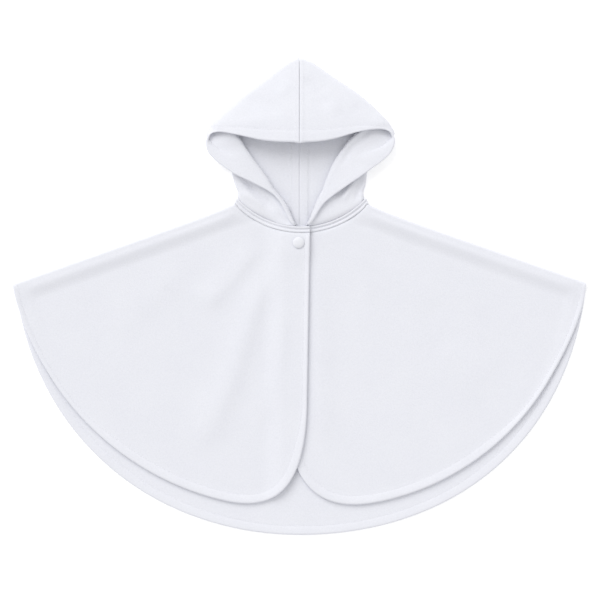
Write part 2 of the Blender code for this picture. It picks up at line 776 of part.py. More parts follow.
def hood_controls(side, share):
    """Control points of one section of a hood half, from the face edge to the centre back seam."""
    edge = tuple(guide(FACE_EDGE[side], share))
    crown_x, crown_y, crown_radius, crown_base, crown_strength = guide(CROWN_FOLD[side], share)
    roll_x, roll_y, roll_radius, roll_strength = guide(FACE_ROLL[side], share)
    side_x, side_y, side_radius, side_strength = guide(SIDE_FOLD[side], share)
    seam = (SEAM_HALF_GAP, guide(BACK_SEAM, share)[0], BACK_MID)
    crown_strength = min(max(crown_strength, 0.0), 1.0)
    roll_strength = min(max(roll_strength, 0.0), 1.0)
    side_strength = min(max(side_strength, 0.0), 1.0)

    # Side fold, or a flat run of the back layer in the crown
    crown_place = (crown_x, crown_y)
    crown_out = plan_direction(edge, crown_place) if crown_strength > 0 else (1.0, 0.0)
    crown_bottom = (crown_x - crown_out[0] * crown_radius, crown_y - crown_out[1] * crown_radius, crown_base)
    side_place = (side_x, side_y)
    roll_place = (roll_x, roll_y)
    seam_out = plan_direction(seam, side_place)
    side_folded = fold_points(side_place, BACK_MID + side_radius, side_radius,
                              plan_direction(roll_place, side_place), seam_out)
    side_flat = between(crown_bottom, seam, SIDE_FLAT)
    side_fold = blended(side_flat, side_folded, side_strength)

    # Face roll, between the side fold and the edge
    roll_in = plan_direction(side_place, roll_place)
    roll_height = side_fold[0][2] + ROLL_STEP + roll_radius
    roll_folded = fold_points(roll_place, roll_height, roll_radius, roll_in, roll_in)
    before = mix(edge, crown_bottom, crown_strength)
    flat_shares = mix(ROLL_FLAT_AT_NECK, ROLL_FLAT_IN_CROWN, crown_strength)
    roll_flat = between(before, side_fold[0], flat_shares)
    standing = [mix(side_fold[0][2], edge[2], share) for share in ROLL_STAND_AT_NECK]
    roll_flat = [(x, y, mix(up, z, crown_strength)) for (x, y, z), up in zip(roll_flat, standing)]
    roll = blended(roll_flat, roll_folded, roll_strength)

    # Crown fold, or a plain run of the turned-back flap
    crown_flat = between(edge, roll[0], (0.35, 0.5, 0.65))
    crown_folded = fold_points(crown_place, crown_base + crown_radius, crown_radius, crown_out, crown_out)
    crown = blended(crown_flat, crown_folded, crown_strength)

    # Points between the folds
    reach = math.dist(edge[:2], crown[0][:2])
    dome = CROWN_DOME * crown_strength * smooth((reach - 10.0) / 60.0)
    over = mix(edge, crown[0], 0.5)
    over = (over[0], over[1], over[2] + dome)
    inside = mix(crown[2], roll[0], 0.5)
    under = mix(roll[2], side_fold[0], 0.5)
    floor = mix(side_fold[2], seam, 0.5)
    return [edge, over] + crown + [inside] + roll + [under] + side_fold + [floor, seam]


def curve_through(points, spans):
    """Points on a smooth curve through the control points, with a count for each span."""
    result = []
    for index, count in enumerate(spans):
        here, after = points[index], points[index + 1]
        before = points[max(index - 1, 0)]
        beyond = points[min(index + 2, len(points) - 1)]
        chord = math.dist(here, after)
        chord_before = max(math.dist(before, here), 1e-6)
        chord_beyond = max(math.dist(after, beyond), 1e-6)
        start_scale = chord / (chord + chord_before)
        end_scale = chord / (chord + chord_beyond)
        for step in range(count):
            t = step / count
            result.append(tuple(
                hermite(
                    here[axis], after[axis],
                    (after[axis] - before[axis]) * start_scale,
                    (beyond[axis] - here[axis]) * end_scale,
                    t,
                )
                for axis in range(3)
            ))
    result.append(tuple(points[-1]))
    return result


def hood_section(side, share, spans):
    """Middle points of one section; near the neck it is drawn to the neck arc and to the band's height."""
    section = curve_through(hood_controls(side, share), spans)
    section = [(x, y, max(z, BACK_MID)) for x, y, z in section]
    arc_pull = 1.0 - smooth(share / NECK_PULL)
    level_pull = 1.0 - smooth(share / NECK_LEVEL_PULL)
    if arc_pull <= 0.0:
        return section
    rise = guide(BACK_SEAM, share)[0] - BACK_SEAM[0][1]
    front_columns = sum(spans[:SIDE_TOP_CONTROL])
    side_x = SIDE_FOLD[side][0][1]
    result = []
    for column, (x, y, z) in enumerate(section):
        arc_y = neck_y(sign_of(side) * x, HOOD_NECK_RADIUS)
        y = mix(y, arc_y + rise * (1.0 - arc_pull), arc_pull)
        if column <= front_columns:
            z = mix(z, neck_mid(side, sign_of(side) * x, side_x), level_pull)
        result.append((x, y, z))
    return result


def sheet_normal(grid, row, column):
    """Unit normal of a grid of points."""
    before, after = grid[row][max(column - 1, 0)], grid[row][min(column + 1, len(grid[row]) - 1)]
    below, above = grid[max(row - 1, 0)][column], grid[min(row + 1, len(grid) - 1)][column]
    return (Vector(after) - Vector(before)).cross(Vector(above) - Vector(below)).normalized()


def section_shares():
    values = []
    for start, stop, count in HOOD_ROWS:
        values += [mix(start, stop, share) for share in shares(count)[:-1]]
    return values + [1.0]


def build_hood(side, finish):
    """One half of the hood: a wall through its sections, with the seams on the middle plane."""
    sign = sign_of(side)
    middle = [
        [(sign * x, y, z) for x, y, z in hood_section(side, share, HOOD_SPANS)]
        for share in section_shares()
    ]
    rows, columns = len(middle), len(middle[0])
    outer, inner = [], []
    for row in range(rows):
        outer_row, inner_row = [], []
        for column in range(columns):
            normal = sheet_normal(middle, row, column) * sign
            if row == rows - 1 or column == columns - 1:
                normal.x = 0.0
                normal.normalize()
            here = Vector(middle[row][column])
            if here.z < BACK_MID + LEVEL_TOLERANCE:
                normal = Vector((0.0, 0.0, -1.0))
            for direction, points in ((1.0, outer_row), (-1.0, inner_row)):
                point = here + normal * (direction * CLOTH / 2)
                point.z = max(point.z, 0.0)
                if row == 0:
                    point.y = neck_y(point.x, HOOD_NECK_RADIUS)
                points.append(tuple(point))
        outer.append(outer_row)
        inner.append(inner_row)
    return wall("hood_" + side, outer, inner, finish)


# Neck band

def band_stations():
    """Places along the band, from the lower end round the back to the upper end.

    Each holds the middle point, the direction across the band, the direction that its
    outer face looks in, and how far its ridges stand up.
    """
    ends = {side: shoulder_neck_angle(side) * BAND_TURN for side in ("right", "left")}
    back_level = BAND_THICK / 2
    radius = (2 * ROLL_RADIUS - CLOTH / 2 - back_level) / 2
    stations = []

    def lay(start, stop, count, level, up, ridge):
        for share in shares(count):
            angle = mix(start, stop, share)
            x, y = neck_point(angle, NECK_RADIUS)
            stations.append(((x, y, level(x)), (math.sin(angle), -math.cos(angle), 0.0), up, ridge))

    def turn(side, upwards):
        angle = ends[side]
        x, y = neck_point(angle, NECK_RADIUS)
        out = (sign_of(side) * math.cos(angle), sign_of(side) * math.sin(angle))
        across = (math.sin(angle), -math.cos(angle), 0.0)
        for step in range(1, BAND_TURN_STEPS):
            share = step / BAND_TURN_STEPS
            turned = math.pi * (1.0 - share if upwards else share)
            reach = radius * math.sin(turned)
            height = back_level + radius + radius * math.cos(turned)
            up = (out[0] * math.sin(turned), out[1] * math.sin(turned), math.cos(turned))
            ridge = BAND_RIDGE * (1.0 + math.cos(turned)) / 2
            stations.append(((x + out[0] * reach, y + out[1] * reach, height), across, up, ridge))

    start = neck_angle(BAND_ENDS["left"], NECK_RADIUS)
    stop = neck_angle(BAND_ENDS["right"], NECK_RADIUS)
    side_x = {side: abs(neck_point(ends[side], NECK_RADIUS)[0]) + ROLL_RADIUS for side in ends}
    over, under = (0.0, 0.0, 1.0), (0.0, 0.0, -1.0)
    lay(start, ends["left"], 14, lambda x: neck_mid("left", x, side_x["left"]), over, BAND_RIDGE)
    turn("left", False)
    lay(ends["left"], ends["right"], 18, lambda x: back_level, under, 0.0)
    turn("right", True)
    lay(ends["right"], stop, 14, lambda x: neck_mid("right", x, side_x["right"]), over, BAND_RIDGE)
    return stations


def build_band(finish):
    """The band over the neck seam: two piped ridges on a flat strip, open at the front."""
    half = BAND_WIDTH / 2
    low, high = -BAND_THICK / 2, BAND_THICK / 2
    rings = []
    for place, across, up, ridge in band_stations():
        dip = ridge / 2
        section = (
            (-half, low),
            (-half, high - dip),
            (-half * RIDGE_PLACE, high + ridge),
            (0.0, high - dip),
            (half * RIDGE_PLACE, high + ridge),
            (half, high - dip),
            (half, low),
        )
        rings.append([
            tuple(place[axis] + across[axis] * w + up[axis] * h for axis in range(3))
            for w, h in section
        ])
    return loft("neck_band", rings, finish)


# Press stud

def turned(name, profile, base, finish, sides=24):
    """Round body from a profile of radius and height."""
    rings = []
    for radius, height in profile:
        rings.append([
            (
                base[0] + radius * math.cos(2 * math.pi * corner / sides),
                base[1] + radius * math.sin(2 * math.pi * corner / sides),
                base[2] + height,
            )
            for corner in range(sides)
        ])
    return loft(name, rings, finish)


def build_snap(finish):
    """The cap on the upper front, the socket under it and the stud on the lower front."""
    x, y = SNAP_PLACE
    lower_top = CLOTH + CLEAR + CLOTH
    disc = SNAP_PART_DIAMETER / 2
    flat = ((disc - 0.4, 0.0), (disc, 0.35), (disc, SNAP_PART_HEIGHT - 0.3), (disc - 0.3, SNAP_PART_HEIGHT))
    stud_base = lower_top + GAP
    turned("snap_stud", flat, (x, y, stud_base), finish, sides=16)
    socket_base = stud_base + SNAP_PART_HEIGHT + GAP
    turned("snap_socket", flat, (x, y, socket_base), finish, sides=16)
    cap_base = socket_base + SNAP_PART_HEIGHT + GAP + CLOTH + GAP
    radius = SNAP_DIAMETER / 2
    dome = [(radius - 0.5, 0.0), (radius, 0.5)]
    for step in range(1, 5):
        angle = math.pi / 2 * step / 5
        dome.append((radius * math.cos(angle), 0.5 + (SNAP_HEIGHT - 0.5) * math.sin(angle)))
    dome.append((radius * 0.12, SNAP_HEIGHT))
    turned("snap_cap", dome, (x, y, cap_base), finish)


def main():
    clear_scene()
    fleece = finish_material("white_fleece", FLEECE_COLOUR, FLEECE_ROUGHNESS)
    moulded = finish_material("white_snap", SNAP_COLOUR, SNAP_ROUGHNESS)
    build_back(fleece)
    build_front("left", fleece)
    build_front("right", fleece)
    for side in ("right", "left"):
        build_hood(side, fleece)
    build_band(fleece)
    build_snap(moulded)


main()
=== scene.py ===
"""Looks of a baby's hooded cape in white brushed fleece, laid flat on a pale floor with its front up.

Every cloth piece is made again on its solid's form with finer sampling: puffy turned hems with a
sewn groove, topstitched seams, soft creases and a slightly uneven surface. Lengths are in
millimetres in this file, and the meshes are in metres. "right" and "left" are the wearer's.
"""

import bisect
import math

import bmesh
import bpy
from bpy.props import FloatProperty, FloatVectorProperty, IntProperty, PointerProperty, StringProperty
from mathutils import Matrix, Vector, noise


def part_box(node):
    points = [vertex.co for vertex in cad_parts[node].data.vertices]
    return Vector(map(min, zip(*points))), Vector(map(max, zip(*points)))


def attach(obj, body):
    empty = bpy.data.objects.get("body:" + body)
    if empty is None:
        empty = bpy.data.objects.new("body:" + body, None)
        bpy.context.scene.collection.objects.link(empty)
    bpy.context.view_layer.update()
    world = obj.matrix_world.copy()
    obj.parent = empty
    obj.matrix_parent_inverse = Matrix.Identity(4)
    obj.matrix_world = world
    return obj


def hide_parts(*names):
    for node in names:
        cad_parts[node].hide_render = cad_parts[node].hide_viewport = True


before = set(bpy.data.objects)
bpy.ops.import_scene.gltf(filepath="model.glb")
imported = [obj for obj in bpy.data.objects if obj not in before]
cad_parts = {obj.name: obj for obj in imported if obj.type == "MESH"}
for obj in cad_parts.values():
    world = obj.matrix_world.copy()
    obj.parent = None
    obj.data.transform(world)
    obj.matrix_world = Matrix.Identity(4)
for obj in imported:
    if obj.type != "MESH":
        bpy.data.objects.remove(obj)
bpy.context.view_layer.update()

bl_info = {
    "name": "Laid baby cape",
    "version": (1, 0, 0),
    "blender": (4, 5, 0),
    "location": "View3D > Sidebar > Cape",
    "description": "Sews a white fleece baby cape over its solids and lights it on a pale floor",
    "category": "Object",
}

MM = 0.001

# Cloth
CLOTH = 2.0                     # thickness of the fleece
GAP = 0.3                       # between two pieces that are sewn together
CLEAR = 0.5                     # between two layers that lie on each other
HEM_WIDTH = 11.0                # width of the turned hem along the bottom
EDGE_WIDTH = 6.0                # width of the turned hem up the front edges
HEM_RISE = 1.1                  # a hem stands this much over the flat cloth
FRONT_HEM_RISE = 1.6            # where nothing lies on a front's hem it is puffier
HEM_BRIDGE = 14.0               # a front comes down from the back's hem over this length
RIM_ROUND = 1.7                 # a turned rim is rounded over this width
HEM_STITCH = 0.90               # place of the hem's stitch line, as a share of the hem's width
STITCH_GROOVE = 0.22            # depth of the groove that a row of stitches presses into fleece
GROOVE_HALF_WIDTH = 1.1         # half width of that groove
NECK_DIP = 0.5                  # how far the neck seam draws a panel down beside the band
NECK_DIP_WIDTH = 3.0            # width of that dip
NECK_QUIET = 7.0                # hems and unevenness die out at this distance from the neck seam
PUFF_START, PUFF_FALL = 0.15, 1.1       # a hem's puff falls from this place over this share of its width
HEM_AT_SHOULDER = 0.3           # share of a front hem's rise that is left where the shoulder rolls
RIM_LEFT = 0.12                 # share of the thickness that is left at the edge of a rounded rim
RIM_LEVEL = 0.45                # a rim's edge lies at this share of the height between its sides
MERGE = 0.004                   # points closer than this are made one
TINY = 1e-6                     # shorter lengths count as none

# Neck seam and band
NECK_CENTRE = (2.0, 170.0)
NECK_RADIUS = 97.2
BAND_WIDTH = 6.0
BAND_THICK = 2.2                # thickness of the band where it has no cords
BAND_RIDGE = 0.65               # how far the ridges stand up on the front
BAND_TURN = 0.985               # it turns at this share of the way to the shoulder fold
BAND_TURN_STEPS = 16
BAND_ENDS = {"left": -12.0, "right": 11.4}# x at each end
BAND_STATIONS = {"front": 64, "back": 70}
HOOD_NECK_RADIUS = NECK_RADIUS - BAND_WIDTH / 2 - GAP
CAPE_NECK_RADIUS = NECK_RADIUS + BAND_WIDTH / 2 + GAP

# Shoulders
ROLL_RADIUS = 3.6               # radius of the fronts' roll over the shoulder
ROLL_TUCK = 7.0                 # the rolled cloth ends this far inside the fold
ROLL_SETTLE = 26.0              # length over which the roll comes down to lie flat
RIDGE_START = 9.5               # away from the neck the roll stays high up to here, then falls
RIDGE_FALL = 15.0               # length over which it falls
RIDGE_RISE = {"right": 0.6, "left": 0.8}# how far the ridge stands over the roll
RIDGE_GROWTH = 20.0             # the ridge grows over this length, from the neck and from the tip
RIDGE_WIDTH = 6.0               # half width of the ridge
RIDGE_FROM_TIP = 8.0            # the ridge starts to grow at this distance from the shoulder's tip
ROLL_STEPS = 14
SHOULDERS = {
    "right": {"tip": (-313.0, 13.5), "slope": 0.353, "neck_x": 67.4, "rise": 2.5},
    "left": {"tip": (313.0, 15.0), "slope": 0.347, "neck_x": 68.0, "rise": 4.0},
}
RISE_LENGTH = 20.0              # the shoulder's rise beside the neck fades over this length
SHOULDER_ANGLES = (0.3, 1.3)    # the shoulder fold meets the neck arc between these angles, in radians
HALVINGS = 40                   # steps of the search for that angle
SHOULDER_STEPS = 90
SILHOUETTE_STEPS = 40

# Hems
BACK_HEM = {"centre": (1.1, 53.5), "radius": 313.5, "bulge": {"right": 4.0, "left": 7.5}}
FRONT_HEMS = {
    "right": {
        "centre": (-12.9, 74.2), "radius": 304.7, "arc_end": 85.0,
        "edge_top": 11.4, "edge_low": 8.4,
    },
    "left": {
        "centre": (31.3, 48.5), "radius": 277.9, "arc_end": 85.0,
        "edge_top": -12.5, "edge_low": -16.0,
    },
}
CORNER_TOP = -110.0             # y at which a front's edge starts to turn into its hem
CORNER_HANDLES = (56.0, 107.0)  # lengths of the corner curve's two handles
EDGE_TO_HEM = (-120.0, -180.0)  # y between which the hem grows from its edge width to its full one
TIP_EASE = 0.33                 # share of the hem's arc over which it is moved to meet the tip
BORDER_STEPS = {"hem": 96, "corner": 48, "edge": 40}
BACK_HEM_DEGREES = range(-84, 85, 3)
FRONT_INSIDE = (120.0, -20.0)   # a point well inside a front, with x counted outwards
OVERLAP_EASE = 24.0             # width over which the upper front comes down beside the lower one

# Places across a hem, as shares of its width, from the rim to the flat cloth
HEM_PLACES = (0.0, 0.015, 0.05, 0.1, 0.16, 0.25, 0.38, 0.52, 0.66, 0.76, 0.82, 0.86, 0.9, 0.94, 0.98,
              1.04, 1.14, 1.28, 1.46)
STITCH_PLACE = HEM_PLACES.index(HEM_STITCH)
STRIP_BLEND = 22.0              # a strip's ends turn to follow the neck and the shoulder over this length

# Soft folds, as the path of each crest. A fold is steeper on its lower right side, which lies in shade.
#    side, path, width on the left, width on the right, height
SOFT_FOLDS = (
    ("right", ((-40.9, 60.0), (-67.0, 31.0), (-88.8, 4.7), (-108.0, -22.0)), 15.0, 9.0, 1.7),
    ("right", ((-24.0, 52.0), (-32.2, 26.5), (-46.3, -4.0), (-57.2, -42.2), (-74.7, -93.4),
               (-96.5, -140.3), (-125.9, -176.3)), 15.0, 12.0, 2.4),
    ("right", ((-14.0, 10.0), (-20.0, -60.0), (-36.0, -120.0), (-60.0, -165.0)), 12.0, 9.0, 0.8),
    ("right", ((-120.0, 40.0), (-160.0, 0.0), (-215.0, -40.0)), 20.0, 16.0, 0.9),
    ("left", ((20.0, 52.0), (21.0, -10.0), (22.0, -80.0), (27.0, -140.0), (38.0, -172.0)), 7.0, 12.0, 1.3),
    ("left", ((56.0, 60.0), (66.0, 30.0), (82.0, -8.0)), 7.0, 8.0, 0.7),
    ("left", ((92.0, 44.0), (118.0, 12.0), (150.0, -20.0)), 12.0, 14.0, 0.8),
    ("left", ((150.0, -50.0), (190.0, -80.0), (216.0, -92.0)), 18.0, 16.0, 0.6),
    ("back", ((-160.0, -40.0), (-190.0, -190.0)), 20.0, 20.0, 0.25),
    ("back", ((20.0, 20.0), (60.0, -210.0)), 24.0, 24.0, 0.25),
    ("back", ((190.0, -10.0), (150.0, -200.0)), 18.0, 18.0, 0.2),
)
FOLD_FADE = 0.28                # share of its path over which a fold fades at each end
FOLD_NARROW, FOLD_WIDE = 0.85, 1.3      # a fold's width at its start and at its end, as shares
FOLD_SWAY = (2.6, 3.7, 0.5)             # waves along a fold, step from fold to fold, and seed
FOLD_UNEVEN = 0.35                      # share by which the sway changes a fold's height
FOLD_DRIFT = 3.0                        # how far the sway moves its crest sideways

# Press stud
SNAP_PLACE = (-1.1, 58.4)
SNAP_DIAMETER = 12.4
SNAP_HEIGHT = 2.6
SNAP_PART_HEIGHT = 1.1          # height of the socket, and of the stud
SNAP_LIFT_REACH = 26.0          # width over which the cloth comes down round the snap
SNAP_DIP, SNAP_DIP_WIDTH = 0.2, 2.5     # the cloth is pressed down by this much round the cap
SNAP_DIP_RING = 0.6                     # width of the flat ring beside the cap
SNAP_SIDES = 64

# Hood guides: a row for each share of the way from the neck, up the face edge, to the crown seam.
# x is counted outwards from the middle on both halves.
#   share,    x,     y,    z
FACE_EDGE = {
    "right": (
        (0.00, 0.9, 76.1, 6.4),
        (0.03, 5.4, 81.6, 8.4),
        (0.06, 10.6, 88.0, 9.4),
        (0.12, 18.0, 98.6, 10.6),
        (0.20, 29.0, 111.2, 11.6),
        (0.30, 50.5, 123.2, 12.6),
        (0.39, 73.6, 134.8, 12.6),
        (0.50, 96.8, 153.2, 11.0),
        (0.56, 102.0, 166.2, 10.4),
        (0.60, 97.6, 175.6, 11.4),
        (0.65, 88.0, 178.4, 13.6),
        (0.73, 69.2, 175.4, 17.0),
        (0.84, 42.3, 169.4, 20.2),
        (0.92, 22.0, 167.2, 21.8),
        (1.00, 0.15, 166.8, 22.5),
    ),
    "left": (
        (0.00, 6.4, 76.3, 3.6),
        (0.03, 9.6, 81.8, 6.8),
        (0.06, 14.0, 88.2, 8.6),
        (0.12, 23.6, 98.6, 10.4),
        (0.20, 37.2, 109.8, 11.6),
        (0.30, 53.4, 121.2, 12.6),
        (0.39, 72.5, 134.5, 12.6),
        (0.50, 96.6, 153.0, 11.0),
        (0.56, 103.8, 167.0, 10.4),
        (0.60, 100.2, 177.0, 11.4),
        (0.65, 89.6, 181.4, 13.6),
        (0.73, 66.0, 178.8, 17.0),
        (0.84, 40.0, 171.2, 20.2),
        (0.92, 21.0, 167.6, 21.8),
        (1.00, 0.15, 166.8, 22.5),
    ),
}
#   share,    x,     y,  radius, base height, strength
CROWN_FOLD = {
    "right": (
        (0.45, 95.0, 148.0, 2.0, 6.0, 0.0),
        (0.54, 102.0, 165.0, 2.0, 5.4, 0.65),
        (0.60, 100.6, 177.2, 2.8, 4.0, 1.0),
        (0.65, 96.9, 184.0, 4.0, 2.6, 1.0),
        (0.73, 91.6, 193.0, 5.6, 1.0, 1.0),
        (0.84, 60.8, 218.8, 4.8, 1.0, 1.0),
        (0.93, 30.0, 241.3, 3.8, 1.0, 1.0),
        (0.97, 12.5, 254.2, 3.2, 1.0, 1.0),
        (1.00, 0.15, 259.0, 2.6, 1.0, 1.0),
    ),
    "left": (
        (0.45, 95.0, 147.0, 2.0, 6.0, 0.0),
        (0.54, 103.6, 166.0, 2.0, 5.4, 0.65),
        (0.60, 102.4, 178.6, 2.8, 4.0, 1.0),
        (0.65, 99.2, 185.0, 4.0, 2.6, 1.0),
        (0.73, 92.6, 193.4, 5.6, 1.0, 1.0),
        (0.84, 65.4, 218.4, 4.8, 1.0, 1.0),
        (0.93, 32.4, 241.0, 3.8, 1.0, 1.0),
        (0.97, 13.5, 254.0, 3.2, 1.0, 1.0),
        (1.00, 0.15, 259.0, 2.6, 1.0, 1.0),
    ),
}
#   share,    x,     y,  radius, strength
FACE_ROLL = {
    "right": (
        (0.00, 1.6, 76.4, 1.5, 0.0),
        (0.03, 2.4, 82.2, 1.5, 0.8),
        (0.06, 6.2, 88.8, 1.6, 1.0),
        (0.12, 13.4, 99.0, 1.7, 1.0),
        (0.20, 26.4, 114.6, 1.7, 1.0),
        (0.28, 36.0, 129.5, 1.7, 1.0),
        (0.39, 50.7, 149.2, 1.7, 1.0),
        (0.50, 60.0, 163.0, 1.8, 1.0),
        (0.55, 65.0, 171.0, 2.4, 1.0),
        (0.60, 72.0, 180.0, 2.6, 0.9),
        (0.66, 76.0, 187.0, 3.0, 0.25),
        (0.72, 70.0, 193.0, 3.0, 0.0),
        (1.00, 10.0, 250.0, 2.6, 0.0),
    ),
    "left": (
        (0.00, 7.4, 76.6, 1.5, 0.0),
        (0.03, 6.8, 82.4, 1.5, 0.8),
        (0.06, 10.4, 89.2, 1.6, 1.0),
        (0.12, 16.6, 99.6, 1.7, 1.0),
        (0.20, 24.6, 113.4, 1.7, 1.0),
        (0.28, 30.2, 128.0, 2.0, 1.0),
        (0.39, 38.2, 146.4, 2.4, 1.0),
        (0.50, 49.5, 163.0, 2.4, 1.0),
        (0.55, 56.5, 171.8, 2.5, 1.0),
        (0.60, 68.0, 182.0, 2.6, 0.9),
        (0.66, 77.0, 189.0, 3.0, 0.25),
        (0.72, 71.0, 194.0, 3.0, 0.0),
        (1.00, 10.0, 250.0, 2.6, 0.0),
    ),
}
#   share,    x,     y,  radius, strength
SIDE_FOLD = {
    "right": (
        (0.00, 66.8, 105.6, 2.6, 1.0),
        (0.12, 66.6, 114.0, 2.4, 1.0),
        (0.25, 70.0, 123.5, 2.0, 1.0),
        (0.39, 73.4, 139.0, 1.8, 1.0),
        (0.50, 74.0, 160.0, 2.0, 1.0),
        (0.55, 76.5, 168.5, 2.2, 1.0),
        (0.60, 80.0, 178.0, 2.3, 0.9),
        (0.66, 80.0, 186.5, 3.0, 0.25),
        (0.72, 72.0, 193.0, 3.0, 0.0),
        (1.00, 5.0, 248.0, 2.6, 0.0),
    ),
    "left": (
        (0.00, 70.6, 104.4, 2.6, 1.0),
        (0.12, 68.6, 113.0, 2.4, 1.0),
        (0.25, 71.0, 121.5, 2.0, 1.0),
        (0.39, 73.2, 139.0, 1.8, 1.0),
        (0.50, 74.0, 161.0, 2.0, 1.0),
        (0.55, 77.0, 169.5, 2.2, 1.0),
        (0.60, 81.0, 180.0, 2.3, 0.9),
        (0.66, 81.0, 188.5, 3.0, 0.25),
        (0.72, 73.0, 194.0, 3.0, 0.0),
        (1.00, 5.0, 248.0, 2.6, 0.0),
    ),
}
#   share, y of the back seam
BACK_SEAM = (
    (0.00, 76.1),
    (0.12, 86.0),
    (0.25, 104.0),
    (0.39, 128.0),
    (0.50, 146.0),
    (0.60, 163.0),
    (0.73, 186.0),
    (0.84, 212.0),
    (0.93, 232.0),
    (1.00, 246.0),
)
ROLL_FLAT_AT_NECK = (0.03, 0.07, 0.12)# places of the roll's points where it isn't folded
ROLL_STAND_AT_NECK = (0.45, 0.20, 0.08)# their heights between the side fold and the face edge
ROLL_FLAT_IN_CROWN = (0.80, 0.873, 0.946)# and their places where the crown has taken over
SIDE_FLAT = (0.295, 0.33, 0.366)# places of the side fold's points where it isn't folded
ROLL_STEP = 0.3                 # the roll lies this much over the side fold
NECK_PULL = 0.16                # sections up to this share are drawn to the neck arc
NECK_LEVEL_PULL = 0.07          # and up to this share to the height of the band
SIDE_TOP_CONTROL = 10           # number of the control point on top of the side fold
CROWN_FLAT = (0.35, 0.5, 0.65)  # places of the crown's points where it isn't folded
CROWN_DOME = 2.0                # height of the crown's swell
DOME_START, DOME_GROWTH = 10.0, 60.0    # length of crown at which it starts, and over which it grows
DOME_PLACE = 0.42               # its place between the face edge and the crown fold
BACK_MID = CLOTH / 2            # height of the middle of the cloth that lies on the floor
SEAM_HALF_GAP = 0.05            # x of the middle seam on each half

# Fine sampling of the hood
SPAN_STEPS = 10                 # points between two control points before they are spaced out again
HOOD_COLUMNS = 96               # columns between the face hem and the back seam
BEND_CROWDING = 1.6             # a bend of one radian gets as many points as this length of flat cloth
HOOD_ROW_COUNTS = ((0.00, 0.10, 12), (0.10, 0.50, 44), (0.50, 0.68, 34), (0.68, 0.93, 34), (0.93, 0.976, 9))
HOOD_LAST_ROWS = (0.976, 0.979, 0.982, 0.985, 0.9875, 0.9895, 0.9915, 0.9935, 0.9955, 0.9975, 0.999, 1.0)
FACE_HEM_RISE = 0.7             # on each side of the face hem
FACE_HEM_LEVEL = 0.35           # share of that rise which is left at the hem's inner end
FACE_HEM_FALL = (3.5, 5.0)      # it falls from this far before the stitch line, over this length
FACE_HEM_PLACES = (0.0, 0.2, 0.6, 1.2, 2.2, 3.8, 6.0, 8.5, 10.8, 12.0, 12.7, 13.3, 13.9, 14.6, 15.6, 17.0)
FACE_STITCH = 13.3
LIP_STITCH = 3.8                # inside the lips the row lies this close to the edge
LIP_RISE, LIP_FALL = 0.3, 8.0   # puff inside the lips, and the length over which it falls
BRIM_GROOVE, LIP_GROOVE = 0.5, 1.2      # depths of their grooves, as shares of a plain one
NECK_ROWS = 0.08                # the rows up to this share are kept inside the neck seam's circle
NECK_ROW_STEP = 0.03            # each row there lies this much further in than the one before
NECK_EASE = 0.05                # hems and creases grow to their full height up to this share
CORNER_FLATTENING = 0.8         # the face hem is pulled flat by this share round the side corners
CORNER_ROWS = (0.63, 0.05)      # share at the side corners, and reach round it
CROWN_ROWS = (0.6, 0.08)        # the crown starts at the first share, eased over the second
LOWER_ROWS = (0.42, 0.1)        # the outside under the lips ends at the first share, eased over the second
CROWN_SEAM_ROWS = (0.9, 0.05)   # and so does its seam
INNER_SEAM_END = (246.0, 8.0)   # y at which the inner seam ends, and its easing
FLAP_HEIGHT = (4.0, 2.0)        # a side that looks down is the flap's from this height, and its easing
FACING = (3.0, 0.6)             # slope and start of the share by which a side faces up or down
CREASE_FROM_EDGE = 16.0         # creases of the crown start over this length from the brim's edge
BRIM_BUMP = 1.2                 # the seam's allowance pushes the brim's edge out by this much
BUMP_HALF_WIDTH, BUMP_LENGTH, BUMP_ROWS = 4.5, 7.0, 0.8# its half width, length and first share
FLAT_BELOW = 0.02               # cloth this little over its lowest level looks straight down
LOOKS_DOWN, LOOKS_UP = -0.9, 0.3        # heights of a normal that looks down, and of one that looks up
SEAM_PLACES = (14.0, 11.5, 10.0, 9.2, 8.6, 8.0, 7.0, 5.5, 4.0, 2.6, 1.6, 0.9, 0.4, 0.0)# from the seam

# Seams on the middle plane: half width of the pressed-open allowance, its height, and the stitch line
CROWN_SEAM = {"half": 5.0, "rise": 0.4, "stitch": 4.0, "valley": 0.7}
INNER_SEAM = {"half": 9.6, "rise": 0.7, "stitch": 8.6, "valley": 0.6}
SEAM_EDGE = (0.6, 1.4)          # an allowance falls from this far before its edge, over this length
SEAM_GROOVE, SEAM_GROOVE_WIDTH = 0.7, 0.8       # shares of a plain stitch groove
VALLEY_HALF_WIDTH = 0.65        # half width of the valley of a seam

# Stretches of the hood that its rows of stitches cover
BRIM_STITCH_START = 0.58
LIP_STITCH_ROWS = (0.12, 0.50)
INNER_STITCH_START, INNER_STITCH_END = 8, 228.0     # first row, and y of the end
CROWN_STITCH_END = 256.0        # y of the end

